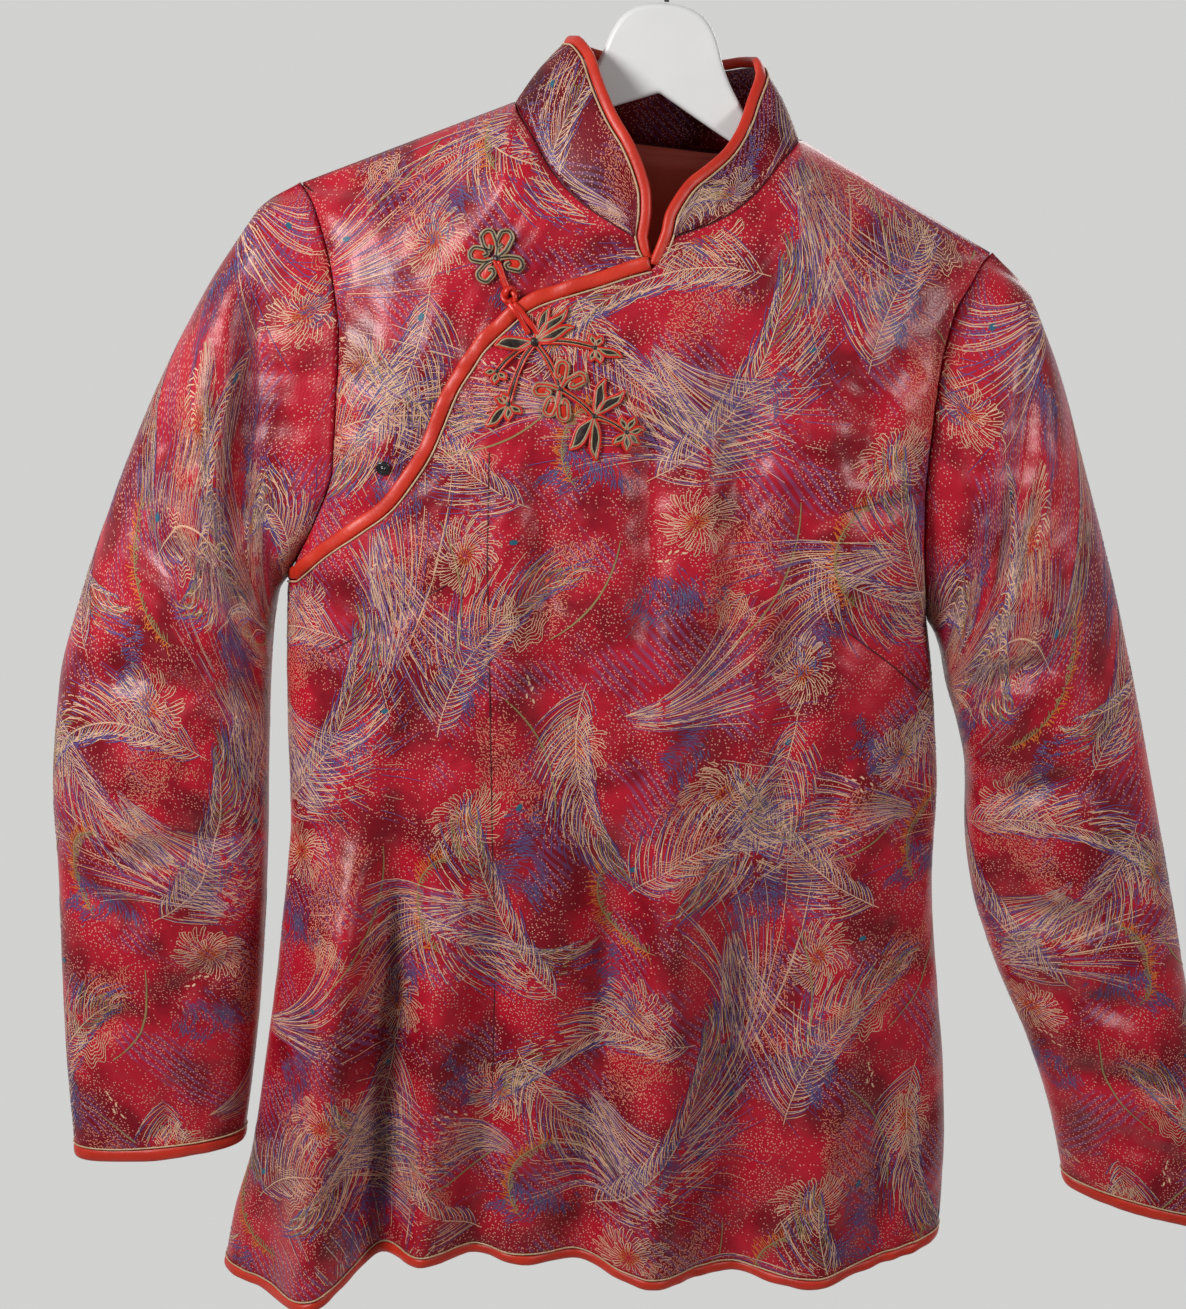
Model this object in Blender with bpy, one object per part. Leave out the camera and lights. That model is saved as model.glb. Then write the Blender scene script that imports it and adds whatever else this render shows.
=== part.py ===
"""Padded stand-collar jacket with a slanted, bound opening, hung on a white hanger.

The origin is the inside top of the hook's bend, +Z is up and the front faces -Y.
All sizes are in metres. Each cloth panel is a wall lofted between an outer and an inner grid of points.
"""
import math

import bmesh
import bpy
import numpy as np

# Cloth sizes
WALL = 0.0032
SEAM_GAP = 0.0004
HALF_SEAM = 0.0003
SLEEVE_GAP = 0.0012
COLLAR_GAP = 0.0010
STEP = 0.0005
TURN_STEP = 0.5
SEAM_BLEND = 0.012
SLEEVE_PROUD = 0.0005
COLLAR_PROUD = 0.0003
ROUND_POWER = 2.6
SHOULDER_FALL = 0.075
NECK_FALL = 0.042
NECK_BLEND = 0.060
NECK_SIDE = 0.082
UNDERLAP_DROP = 0.0045
UNDERLAP_TUCK = 0.016
RECESS_START = 0.006
RECESS_FADE = 0.022
SLOPE_REACH = 0.008

# Binding sizes: width along the cloth and how far each face stands proud of the wall
OPENING_BINDING = 0.0080
COLLAR_BINDING = 0.0062
CUFF_BINDING = 0.0086
HEM_BINDING = 0.0066
BINDING_PROUD = 0.0005
BINDING_RIM = 0.0014
BINDING_LIP = 0.0002

# Body edges at the wearer's right (seen at the left): height, x, front edge y, back edge y
LEFT_EDGE = (
    (-0.900, -0.2215, 0.000, 0.000),
    (-0.843, -0.2150, 0.000, 0.000),
    (-0.796, -0.2050, 0.000, 0.000),
    (-0.743, -0.2000, 0.000, 0.000),
    (-0.648, -0.1930, 0.000, 0.000),
    (-0.581, -0.1905, 0.000, 0.000),
    (-0.529, -0.1940, 0.000, 0.000),
    (-0.465, -0.1980, 0.000, 0.000),
    (-0.425, -0.1990, 0.000, 0.000),
    (-0.412, -0.1940, -0.016, 0.014),
    (-0.386, -0.1820, -0.031, 0.027),
    (-0.349, -0.1710, -0.039, 0.034),
    (-0.282, -0.1710, -0.038, 0.032),
    (-0.241, -0.1780, -0.030, 0.026),
    (-0.207, -0.1900, -0.020, 0.018),
    (-0.198, -0.1955, -0.012, 0.011),
    (-0.191, -0.2020, 0.000, 0.000),
    (-0.120, -0.2100, 0.000, 0.000),
)
# Body edges at the wearer's left (seen at the right): height, x, front edge y, back edge y
RIGHT_EDGE = (
    (-0.900, 0.2375, 0.000, 0.000),
    (-0.824, 0.2370, 0.000, 0.000),
    (-0.770, 0.2350, 0.000, 0.000),
    (-0.700, 0.2270, 0.000, 0.000),
    (-0.662, 0.2200, 0.000, 0.000),
    (-0.571, 0.2060, 0.000, 0.000),
    (-0.531, 0.2040, 0.000, 0.000),
    (-0.466, 0.1950, 0.000, 0.000),
    (-0.421, 0.1860, 0.000, 0.000),
    (-0.407, 0.1820, -0.015, 0.013),
    (-0.377, 0.1760, -0.031, 0.027),
    (-0.325, 0.1710, -0.039, 0.034),
    (-0.275, 0.1720, -0.037, 0.032),
    (-0.235, 0.1780, -0.028, 0.025),
    (-0.215, 0.1880, -0.020, 0.018),
    (-0.206, 0.1930, -0.012, 0.011),
    (-0.200, 0.1990, 0.000, 0.000),
    (-0.120, 0.2060, 0.000, 0.000),
)
# Middle of the body: height, front y, back y
MIDDLE = (
    (-0.900, -0.056, 0.040),
    (-0.800, -0.056, 0.038),
    (-0.700, -0.058, 0.036),
    (-0.580, -0.063, 0.036),
    (-0.500, -0.069, 0.040),
    (-0.420, -0.072, 0.045),
    (-0.340, -0.069, 0.047),
    (-0.270, -0.063, 0.048),
    (-0.210, -0.056, 0.048),
    (-0.120, -0.046, 0.044),
)
# Neckline from the centre front: angle, y, height
NECK_LOOP = (
    (0.0, -0.0560, -0.2090),
    (30.0, -0.0485, -0.1890),
    (45.0, -0.0400, -0.1740),
    (60.0, -0.0280, -0.1560),
    (75.0, -0.0140, -0.1460),
    (90.0, 0.0000, -0.1400),
    (120.0, 0.0250, -0.1470),
    (150.0, 0.0430, -0.1540),
    (180.0, 0.0500, -0.1570),
)
NECK_TILT = -0.049
SHOULDER_TIPS = {-1: (-0.202, -0.191), 1: (0.199, -0.200)}
# Centre line of the slanted opening's binding, from the armhole to the neck: x, height
OPENING = (
    (-0.1965, -0.4210),
    (-0.1850, -0.4080),
    (-0.1710, -0.3940),
    (-0.1540, -0.3800),
    (-0.1380, -0.3660),
    (-0.1270, -0.3500),
    (-0.1170, -0.3320),
    (-0.1110, -0.3150),
    (-0.1050, -0.2970),
    (-0.0970, -0.2820),
    (-0.0900, -0.2700),
    (-0.0790, -0.2580),
    (-0.0690, -0.2480),
    (-0.0610, -0.2425),
    (-0.0470, -0.2365),
    (-0.0260, -0.2285),
    (-0.0090, -0.2215),
    (0.0060, -0.2165),
)
# Hem: x, front height, back height
HEM = (
    (-0.2215, -0.8800, -0.8800),
    (-0.2060, -0.8790, -0.8720),
    (-0.1800, -0.8760, -0.8600),
    (-0.1550, -0.8700, -0.8520),
    (-0.1350, -0.8600, -0.8480),
    (-0.1130, -0.8450, -0.8450),
    (-0.0820, -0.8390, -0.8430),
    (-0.0200, -0.8370, -0.8420),
    (0.0640, -0.8390, -0.8420),
    (0.1440, -0.8370, -0.8400),
    (0.1870, -0.8290, -0.8360),
    (0.2180, -0.8220, -0.8280),
    (0.2370, -0.8180, -0.8180),
)
# Large soft folds: side (-1 front, 1 back), top x, top height, bottom x, bottom height, half width, depth
FOLDS = (
    (-1, -0.150, -0.600, -0.160, -0.900, 0.022, -0.0120),
    (-1, -0.120, -0.570, -0.118, -0.900, 0.016, 0.0070),
    (-1, -0.092, -0.640, -0.090, -0.900, 0.017, -0.0045),
    (-1, -0.058, -0.600, -0.056, -0.900, 0.016, 0.0050),
    (-1, 0.010, -0.570, 0.006, -0.900, 0.020, 0.0065),
    (-1, 0.048, -0.580, 0.052, -0.900, 0.020, -0.0050),
    (-1, 0.085, -0.600, 0.108, -0.900, 0.020, 0.0060),
    (-1, 0.150, -0.640, 0.160, -0.900, 0.022, -0.0045),
    (-1, -0.040, -0.390, -0.030, -0.520, 0.018, 0.0040),
    (-1, 0.060, -0.280, 0.066, -0.480, 0.020, 0.0040),
    (1, -0.120, -0.560, -0.130, -0.900, 0.024, -0.0060),
    (1, -0.060, -0.580, -0.062, -0.900, 0.022, 0.0060),
    (1, 0.010, -0.560, 0.012, -0.900, 0.024, -0.0055),
    (1, 0.080, -0.590, 0.088, -0.900, 0.022, 0.0060),
    (1, 0.150, -0.600, 0.165, -0.900, 0.024, -0.0050),
)
FOLD_FADE = 0.10
# Sleeve stations: outer x, outer height, inner x, inner height, front depth, back depth
LEFT_SLEEVE = (
    (-0.2270, -0.2090, -0.2045, -0.4330, 0.046, 0.038),
    (-0.2510, -0.2490, -0.2065, -0.4450, 0.050, 0.041),
    (-0.2800, -0.3120, -0.2075, -0.4620, 0.050, 0.042),
    (-0.3030, -0.3760, -0.2075, -0.4850, 0.048, 0.041),
    (-0.3220, -0.4400, -0.2070, -0.5150, 0.045, 0.039),
    (-0.3350, -0.5000, -0.2060, -0.5500, 0.042, 0.037),
    (-0.3375, -0.5600, -0.2045, -0.5900, 0.039, 0.034),
    (-0.3330, -0.6200, -0.2040, -0.6350, 0.036, 0.032),
    (-0.3290, -0.6900, -0.2045, -0.6900, 0.032, 0.029),
    (-0.3245, -0.7500, -0.2070, -0.7420, 0.028, 0.026),
    (-0.3190, -0.8020, -0.2100, -0.7830, 0.025, 0.022),
)
RIGHT_SLEEVE = (
    (0.2250, -0.2230, 0.1925, -0.4290, 0.046, 0.038),
    (0.2440, -0.2600, 0.1975, -0.4410, 0.050, 0.041),
    (0.2690, -0.3230, 0.2030, -0.4600, 0.050, 0.042),
    (0.2930, -0.3860, 0.2120, -0.4830, 0.048, 0.041),
    (0.3160, -0.4540, 0.2200, -0.5110, 0.045, 0.039),
    (0.3360, -0.5180, 0.2240, -0.5480, 0.042, 0.037),
    (0.3530, -0.5740, 0.2330, -0.5870, 0.039, 0.034),
    (0.3710, -0.6350, 0.2520, -0.6320, 0.036, 0.032),
    (0.3900, -0.6950, 0.2790, -0.6830, 0.032, 0.029),
    (0.4060, -0.7450, 0.2990, -0.7300, 0.028, 0.026),
    (0.4180, -0.7890, 0.3110, -0.7690, 0.025, 0.022),
)
# Sleeve folds: side, top x, top height, bottom x, bottom height, half width, depth
SLEEVE_FOLDS = (
    (-1, -0.214, -0.245, -0.216, -0.430, 0.011, 0.0110),
    (-1, -0.262, -0.300, -0.300, -0.520, 0.018, 0.0050),
    (-1, -0.235, -0.560, -0.240, -0.720, 0.016, 0.0040),
    (-1, 0.232, -0.470, 0.262, -0.640, 0.015, 0.0060),
    (-1, 0.290, -0.400, 0.330, -0.640, 0.016, 0.0050),
    (1, -0.230, -0.280, -0.250, -0.480, 0.018, 0.0060),
    (1, 0.230, -0.290, 0.260, -0.500, 0.018, 0.0060),
)
# Collar edge seen at the left, then at the right: angle of the base point, edge x, edge y, edge height
COLLAR_LEFT = (
    (7.0, -0.0005, -0.0525, -0.2040),
    (11.0, 0.0005, -0.0520, -0.1920),
    (16.0, -0.0005, -0.0505, -0.1800),
    (22.0, -0.0050, -0.0485, -0.1670),
    (30.0, -0.0130, -0.0455, -0.1520),
    (40.0, -0.0225, -0.0400, -0.1390),
    (52.0, -0.0320, -0.0310, -0.1220),
    (66.0, -0.0405, -0.0170, -0.1040),
    (80.0, -0.0490, -0.0030, -0.0965),
    (95.0, -0.0535, 0.0100, -0.0965),
    (120.0, -0.0500, 0.0280, -0.0990),
    (150.0, -0.0300, 0.0420, -0.1040),
    (180.0, 0.0000, 0.0465, -0.1070),
)
COLLAR_RIGHT = (
    (11.0, 0.0075, -0.0560, -0.2000),
    (14.0, 0.0085, -0.0540, -0.1910),
    (18.0, 0.0115, -0.0510, -0.1830),
    (24.0, 0.0190, -0.0460, -0.1710),
    (33.0, 0.0290, -0.0380, -0.1620),
    (44.0, 0.0390, -0.0280, -0.1520),
    (57.0, 0.0465, -0.0170, -0.1380),
    (70.0, 0.0510, -0.0060, -0.1220),
    (84.0, 0.0555, 0.0040, -0.1070),
    (97.0, 0.0545, 0.0150, -0.1000),
    (120.0, 0.0490, 0.0290, -0.1000),
    (150.0, 0.0300, 0.0420, -0.1040),
    (180.0, 0.0000, 0.0465, -0.1070),
)
COLLAR_SWELL = 0.0015

# Frog outlines lie on the cloth: name, x, height, parent, heart radius, petals as (tip x, tip height, width)
FLOWER = (
    ("centre", -0.0835, -0.2224, None, 0.0022, (
        (-0.0912, -0.2080, 0.0062), (-0.0985, -0.2200, 0.0062), (-0.0915, -0.2345, 0.0062),
        (-0.0695, -0.2250, 0.0058), (-0.0785, -0.2070, 0.0062))),
)
SPRAY = (
    ("lily", -0.0588, -0.2660, None, 0.0042, (
        (-0.0515, -0.2455, 0.0038), (-0.0415, -0.2455, 0.0036), (-0.0365, -0.2560, 0.0036),
        (-0.0820, -0.2700, 0.0048))),
    ("small right", -0.0250, -0.2670, "lily", 0.0022, (
        (-0.0085, -0.2710, 0.0034), (-0.0210, -0.2590, 0.0024), (-0.0280, -0.2585, 0.0024),
        (-0.0270, -0.2750, 0.0024), (-0.0205, -0.2755, 0.0024))),
    ("bud", -0.0789, -0.2838, "lily", 0.0022, (
        (-0.0867, -0.2850, 0.0026), (-0.0800, -0.2920, 0.0026), (-0.0725, -0.2885, 0.0024))),
    ("small left", -0.0710, -0.3020, "lily", 0.0022, (
        (-0.0830, -0.3155, 0.0038), (-0.0800, -0.2990, 0.0026), (-0.0755, -0.2955, 0.0024),
        (-0.0700, -0.3120, 0.0026), (-0.0625, -0.3070, 0.0026))),
    ("curly", -0.0429, -0.2910, "lily", 0.0022, (
        (-0.0425, -0.2760, 0.0048), (-0.0295, -0.2830, 0.0046), (-0.0570, -0.2930, 0.0046),
        (-0.0490, -0.3055, 0.0046), (-0.0385, -0.3075, 0.0046))),
    ("low lily", -0.0226, -0.3048, "curly", 0.0022, (
        (-0.0176, -0.2825, 0.0042), (-0.0060, -0.2885, 0.0040), (-0.0350, -0.3250, 0.0046),
        (-0.0190, -0.3300, 0.0040))),
    ("small low", -0.0039, -0.3124, "low lily", 0.0022, (
        (-0.0075, -0.3025, 0.0024), (0.0005, -0.3022, 0.0024), (0.0068, -0.3100, 0.0024),
        (0.0043, -0.3195, 0.0024), (-0.0030, -0.3235, 0.0024), (-0.0110, -0.3200, 0.0024))),
)
STEM_HALF = 0.0009
PETAL_SHAPE = ((0.18, 0.34), (0.48, 0.92), (0.74, 0.98), (0.93, 0.55), (1.00, 0.0))
FROG_LIFT = 0.0007
FROG_THICK = 0.0018
MERGE = 0.00005

# Knot, its loop and the snap
KNOT_AT = (-0.0755, -0.2425)
KNOT_SIZE = (0.0042, 0.0036, 0.0052)
LOOP_AT = (-0.0665, -0.2530)
LOOP_RADIUS = 0.0040
LOOP_CORD = 0.0011
SNAP_AT = (-0.1403, -0.3449)
SNAP_RADIUS = 0.0042
SNAP_THICK = 0.0016
SNAP_LIFT = 0.0006

HANGER_CLEAR = 0.0069
# Hanger head, from the top to where the arm begins: x, height
HANGER_HEAD = (
    (0.0000, -0.0750),
    (0.0130, -0.0765),
    (0.0230, -0.0815),
    (0.0300, -0.0920),
    (0.0350, -0.1080),
    (0.0430, -0.1230),
    (0.0560, -0.1400),
)
# Hanger arm, out along its top and back along its underside: x, drop below the shoulder line
HANGER_ARM = (
    (0.0780, 0.0090),
    (0.1000, HANGER_CLEAR),
    (0.1300, HANGER_CLEAR),
    (0.1500, 0.0100),
    (0.1640, 0.0160),
    (0.1680, 0.0215),
    (0.1620, 0.0260),
    (0.1300, 0.0240),
    (0.0700, 0.0250),
    (0.0360, 0.0235),
)
HANGER_VEE = (0.0000, -0.1250)
HANGER_THICK = 0.0110
HANGER_BEVEL = 0.0030

# Hook wire: centre line x and height, from the head up and over
HOOK_WIRE = 0.0014
HOOK_RADIUS = 0.0210
HOOK_CENTRE = (0.0000, -0.0210)
HOOK_STEM = ((0.0000, -0.0746), (0.0000, -0.0580), (0.0040, -0.0500), (0.0120, -0.0430))
HOOK_ARC = (-40.0, 205.0)

# Back neck lining
LINING_THICK = 0.0010
LINING_CLEAR = 0.0024
LINING_ACROSS = 22.0
LINING_DEPTH = 0.075

# Grid counts
OPENING_COLUMNS = 14
NECK_COLUMNS = 7
SHOULDER_COLUMNS = 8
FRONT_ROWS = 20
BACK_ROWS = 17
UNDERLAP_ROWS = 12
SLEEVE_ROWS = 14
SLEEVE_AROUND = 20
COLLAR_ROWS = 3
COLLAR_COLUMNS = 18

# Materials: red, green, blue, roughness, metallic
BROCADE = (0.36, 0.028, 0.060, 0.42, 0.0)
BINDING = (0.66, 0.045, 0.020, 0.40, 0.0)
LINING = (0.55, 0.060, 0.045, 0.55, 0.0)
CORD_BLACK = (0.045, 0.020, 0.018, 0.50, 0.0)
CORD_RED = (0.60, 0.030, 0.020, 0.40, 0.0)
STEEL = (0.30, 0.30, 0.31, 0.35, 1.0)
WHITE = (0.80, 0.80, 0.79, 0.35, 0.0)


def clear_scene():
    for item in list(bpy.data.objects):
        bpy.data.objects.remove(item)


def make_collection(name):
    group = bpy.data.collections.new(name)
    bpy.context.scene.collection.children.link(group)
    return group


def make_material(name, values):
    material = bpy.data.materials.new(name)
    material.use_nodes = True
    shader = material.node_tree.nodes["Principled BSDF"]
    shader.inputs["Base Color"].default_value = (values[0], values[1], values[2], 1.0)
    shader.inputs["Roughness"].default_value = values[3]
    shader.inputs["Metallic"].default_value = values[4]
    return material


def smooth(knots, values, at):
    """Smooth curve through table values, with no overshoot; knots rise."""
    knots = np.asarray(knots, float)
    values = np.asarray(values, float)
    steps = np.diff(values) / np.diff(knots)
    before, after = steps[:-1], steps[1:]
    total = np.where(before * after > 0, before + after, 1.0)
    inner = np.where(before * after > 0, 2 * before * after / total, 0.0)
    slopes = np.concatenate(([steps[0]], inner, [steps[-1]]))
    at = np.clip(at, knots[0], knots[-1])
    index = np.clip(np.searchsorted(knots, at) - 1, 0, len(knots) - 2)
    span = knots[index + 1] - knots[index]
    part = (at - knots[index]) / span
    rest = 1 - part
    start = values[index] * (1 + 2 * part) * rest ** 2 + slopes[index] * span * part * rest ** 2
    end = values[index + 1] * part ** 2 * (3 - 2 * part) - slopes[index + 1] * span * part ** 2 * rest
    return start + end


def column(table, number):
    return np.array([row[number] for row in table])


def read_table(table, number, at):
    return smooth(column(table, 0), column(table, number), at)


def soft_step(value):
    value = np.clip(value, 0.0, 1.0)
    return value * value * (3 - 2 * value)


def unit(vectors):
    return vectors / np.linalg.norm(vectors, axis=-1, keepdims=True)


def neck_point(degrees, sign):
    """Point on the neckline seam at an angle from the centre front, sign -1 or 1 for its side."""
    x = sign * NECK_SIDE * np.sin(np.radians(degrees))
    y = read_table(NECK_LOOP, 1, degrees)
    z = read_table(NECK_LOOP, 2, degrees) + NECK_TILT * x
    return x, y, z


def top_line(side, x):
    """Height and y of the shoulder seam or neckline above x."""
    x = np.asarray(x, float)
    lean = np.degrees(np.arcsin(np.clip(np.abs(x) / NECK_SIDE, 0.0, 1.0)))
    degrees = lean if side < 0 else 180.0 - lean
    neck_y = read_table(NECK_LOOP, 1, degrees)
    neck_z = read_table(NECK_LOOP, 2, degrees) + NECK_TILT * x
    sign = np.where(x < 0, -1, 1)
    tip_x = np.where(x < 0, SHOULDER_TIPS[-1][0], SHOULDER_TIPS[1][0])
    tip_z = np.where(x < 0, SHOULDER_TIPS[-1][1], SHOULDER_TIPS[1][1])
    start_x = sign * NECK_SIDE
    start_z = NECK_LOOP[5][2] + NECK_TILT * start_x
    along = (x - start_x) / (tip_x - start_x)
    outside = np.abs(x) > NECK_SIDE
    return (np.where(outside, start_z + along * (tip_z - start_z), neck_z),
            np.where(outside, 0.0, neck_y))


def fold_push(table, side, x, z):
    """Depth of the soft folds at x and z, positive into the body."""
    total = np.zeros_like(x)
    for where, x0, z0, x1, z1, half_width, depth in table:
        if where != side:
            continue
        down = np.clip((z0 - z) / (z0 - z1), -0.5, 1.2)
        line_x = x0 + (x1 - x0) * down
        fade = soft_step((z0 - z) / FOLD_FADE + 0.5) * soft_step((z - z1) / FOLD_FADE + 0.5 + (z1 < -0.85))
        total = total + depth * fade * np.exp(-((x - line_x) / half_width) ** 2)
    return total


def opening_height(x):
    return read_table(OPENING, 1, x)


def underlap_recess(x, z):
    """How far the underlap lies behind the front near the slanted edge."""
    slope = (opening_height(x + SLOPE_REACH) - opening_height(x - SLOPE_REACH)) / (2 * SLOPE_REACH)
    distance = (z - opening_height(x)) / np.sqrt(1 + slope ** 2)
    return UNDERLAP_DROP * (1 - soft_step((distance - RECESS_START) / RECESS_FADE))


def body_point(side, turn, z, tucked=False):
    """Point on the outer cloth; side -1 is the front, 1 the back; turn is -90 to 90 degrees across."""
    turn = np.asarray(turn, float)
    z = np.asarray(z, float)
    left = read_table(LEFT_EDGE, 1, z)
    right = read_table(RIGHT_EDGE, 1, z)
    across = np.sin(np.radians(turn))
    x = (left + right) / 2 + (right - left) / 2 * across
    number = 2 if side < 0 else 3
    left_y = read_table(LEFT_EDGE, number, z)
    right_y = read_table(RIGHT_EDGE, number, z)
    edge_y = left_y * (1 - across) / 2 + right_y * (1 + across) / 2
    middle_y = read_table(MIDDLE, 1 if side < 0 else 2, z)
    swell = np.sqrt(np.maximum(1 - np.abs(across) ** ROUND_POWER, 0.0))
    top_z, top_y = top_line(side, x)
    beside = soft_step((np.abs(x) - NECK_BLEND) / NECK_BLEND)
    length = NECK_FALL + (SHOULDER_FALL - NECK_FALL) * beside
    drop = np.clip((top_z - z) / length, 0.0, 1.0)
    fall = (drop * (2 - drop)) ** 0.75
    y = edge_y + (middle_y - edge_y) * swell
    y = top_y + (y - top_y) * fall + edge_y * (1 - fall) * (np.abs(x) > NECK_SIDE)
    y = y - side * fold_push(FOLDS, side, x, z) * swell * fall
    if tucked:
        y = y + underlap_recess(x, z)
    return np.stack((x, y + side * HALF_SEAM, z), axis=-1)


def body_normal(side, turn, z, tucked=False):
    """Outward direction of the cloth."""
    low = np.clip(turn - TURN_STEP, -90, 90)
    high = np.clip(turn + TURN_STEP, -90, 90)
    across = body_point(side, high, z, tucked) - body_point(side, low, z, tucked)
    up = body_point(side, turn, z, tucked) - body_point(side, turn, z - STEP, tucked)
    return unit(-side * np.cross(across, up))


def turn_of(x, z):
    """Angle across the body for a point given by x and height."""
    left = read_table(LEFT_EDGE, 1, z)
    right = read_table(RIGHT_EDGE, 1, z)
    return np.degrees(np.arcsin(np.clip((2 * x - left - right) / (right - left), -1.0, 1.0)))


def flatten_at_seams(normals, points, rows_open):
    """At side and shoulder seams the wall's rim stands square to the seam line."""
    keep = np.clip(np.abs(points[..., 1]) / SEAM_BLEND, 0.0, 1.0)
    edge = np.zeros(points.shape[:2], bool)
    edge[:, 0] = True
    edge[:, -1] = True
    edge[-1, :] = rows_open
    normals[..., 1] = np.where(edge, normals[..., 1] * keep, normals[..., 1])
    return unit(normals)


def panel_grid(side, bottom, top, rows, ease, tucked=False):
    """Points and normals of a panel ruled from its bottom edge to its top edge, each as (turn, height)."""
    up = 1 - (1 - np.linspace(0.0, 1.0, rows + 1)) ** ease
    turn = bottom[0] + (top[0] - bottom[0]) * up[:, None]
    z = bottom[1] + (top[1] - bottom[1]) * up[:, None]
    points = body_point(side, turn, z, tucked)
    normals = flatten_at_seams(body_normal(side, turn, z, tucked), points, True)
    return points, normals


def shoulder_points(sign, count):
    """Shoulder seam points from the neck side to the tip."""
    tip_x, tip_z = SHOULDER_TIPS[sign]
    start_x = sign * NECK_SIDE
    start_z = NECK_LOOP[5][2] + NECK_TILT * start_x
    part = np.sin(np.linspace(0.0, math.pi / 2, count + 1))
    return start_x + (tip_x - start_x) * part, start_z + (tip_z - start_z) * part


def as_turns(x, z):
    return turn_of(x, z), z


def hem_edge(side, turns):
    """Hem as (turn, height); two passes settle the height at each x."""
    z = np.full_like(turns, -0.84)
    for _ in range(3):
        x = body_point(side, turns, z)[..., 0]
        z = read_table(HEM, 1 if side < 0 else 2, x) + HEM_BINDING
    return turns, z


def make_mesh(name, points, faces, group, material):
    mesh = bpy.data.meshes.new(name)
    mesh.from_pydata([tuple(point) for point in points], [], faces)
    mesh.validate()
    item = bpy.data.objects.new(name, mesh)
    group.objects.link(item)
    item.data.materials.append(material)
    for polygon in mesh.polygons:
        polygon.use_smooth = True
    return item


def grid_faces(rows, columns, start, closed):
    """Quads of a grid of points numbered row by row."""
    last = columns if closed else columns - 1
    faces = []
    for row in range(rows - 1):
        for number in range(last):
            after = (number + 1) % columns
            faces.append((start + row * columns + number, start + row * columns + after,
                          start + (row + 1) * columns + after, start + (row + 1) * columns + number))
    return faces


def make_wall(name, outer, inner, group, material, closed=False, flip=False):
    """Closed wall between an outer and an inner grid; closed grids join along their columns."""
    rows, columns = outer.shape[:2]
    count = rows * columns
    faces = grid_faces(rows, columns, 0, closed)
    faces += [face[::-1] for face in grid_faces(rows, columns, count, closed)]
    last = columns if closed else columns - 1
    for number in range(last):
        after = (number + 1) % columns
        top = (rows - 1) * columns
        faces.append((after, number, count + number, count + after))
        faces.append((top + number, top + after, count + top + after, count + top + number))
    if not closed:
        for row in range(rows - 1):
            low, high = row * columns, (row + 1) * columns
            faces.append((low, high, count + high, count + low))
            end_low, end_high = low + columns - 1, high + columns - 1
            faces.append((end_high, end_low, count + end_low, count + end_high))
    if flip:
        faces = [face[::-1] for face in faces]
    points = np.concatenate((outer.reshape(-1, 3), inner.reshape(-1, 3)))
    return make_mesh(name, points, faces, group, material)


def make_strip(name, path, outward, normals, width, group, material, closed=False, flip=False):
    """Rounded binding beyond a wall's edge; outward points away from the wall along the cloth."""
    near = SEAM_GAP
    far = SEAM_GAP + width
    back = -WALL - BINDING_PROUD
    rim = BINDING_RIM
    profile = (
        (near, -BINDING_LIP), (near + rim, BINDING_PROUD), (far - rim, BINDING_PROUD), (far, -rim),
        (far, back + rim), (far - rim, back), (near + rim, back), (near, -WALL + BINDING_LIP),
    )
    rings = np.stack([path + outward * out + normals * lift for out, lift in profile], axis=1)
    rows, columns = rings.shape[:2]
    faces = grid_faces(rows, columns, 0, True)
    if closed:
        last = (rows - 1) * columns
        for number in range(columns):
            after = (number + 1) % columns
            faces.append((last + number, last + after, after, number))
    else:
        faces.append(tuple(range(columns))[::-1])
        faces.append(tuple(range((rows - 1) * columns, rows * columns)))
    if flip:
        faces = [face[::-1] for face in faces]
    return make_mesh(name, rings.reshape(-1, 3), faces, group, material)


def edge_outward(path, normals, toward):
    """Directions along the cloth, square to an edge path, on the side given by toward."""
    along = unit(np.gradient(path, axis=0))
    outward = unit(np.cross(along, normals))
    sign = np.sign(np.sum(outward * toward, axis=-1, keepdims=True))
    outward = outward * sign
    keep = np.ones(len(path))
    keep[[0, -1]] = np.clip(np.abs(path[[0, -1], 1]) / SEAM_BLEND, 0.0, 1.0)
    outward[:, 1] = outward[:, 1] * keep
    return unit(outward)


def opening_edge(offset, x):
    """Points beside the opening's centre line, offset up and to the left of it."""
    z = opening_height(x)
    slope = (opening_height(x + 0.002) - opening_height(x - 0.002)) / 0.004
    slope = np.clip(slope, 0.25, 2.0)
    length = np.sqrt(1 + slope ** 2)
    return x - offset * slope / length, z + offset / length


def main_front_edges():
    """Bottom and top edges of the main front as (turn, height)."""
    opening_x = np.interp(np.linspace(0, 1, OPENING_COLUMNS + 1), np.linspace(0, 1, 7),
                          (-0.1965, -0.172, -0.138, -0.109, -0.083, -0.045, 0.0060))
    edge_x, edge_z = opening_edge(-OPENING_BINDING / 2 - SEAM_GAP, opening_x)
    edge_turn, edge_z = as_turns(edge_x, edge_z)
    edge_turn[0] = -90.0
    edge_z[0] = edge_z[0] - 0.002
    degrees = np.linspace(8.0, 90.0, NECK_COLUMNS + 1)[:-1]
    neck_x, _, neck_z = neck_point(degrees, 1)
    shoulder_x, shoulder_z = shoulder_points(1, SHOULDER_COLUMNS)
    neck_turn, neck_z = as_turns(neck_x, neck_z)
    shoulder_turn, shoulder_z = as_turns(shoulder_x, shoulder_z)
    shoulder_turn[-1] = 90.0
    top = (np.concatenate((edge_turn, neck_turn, shoulder_turn)),
           np.concatenate((edge_z, neck_z, shoulder_z)))
    spread = np.linspace(-90.0, 90.0, len(top[0]))
    bottom = hem_edge(-1, spread)
    return bottom, top


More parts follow.
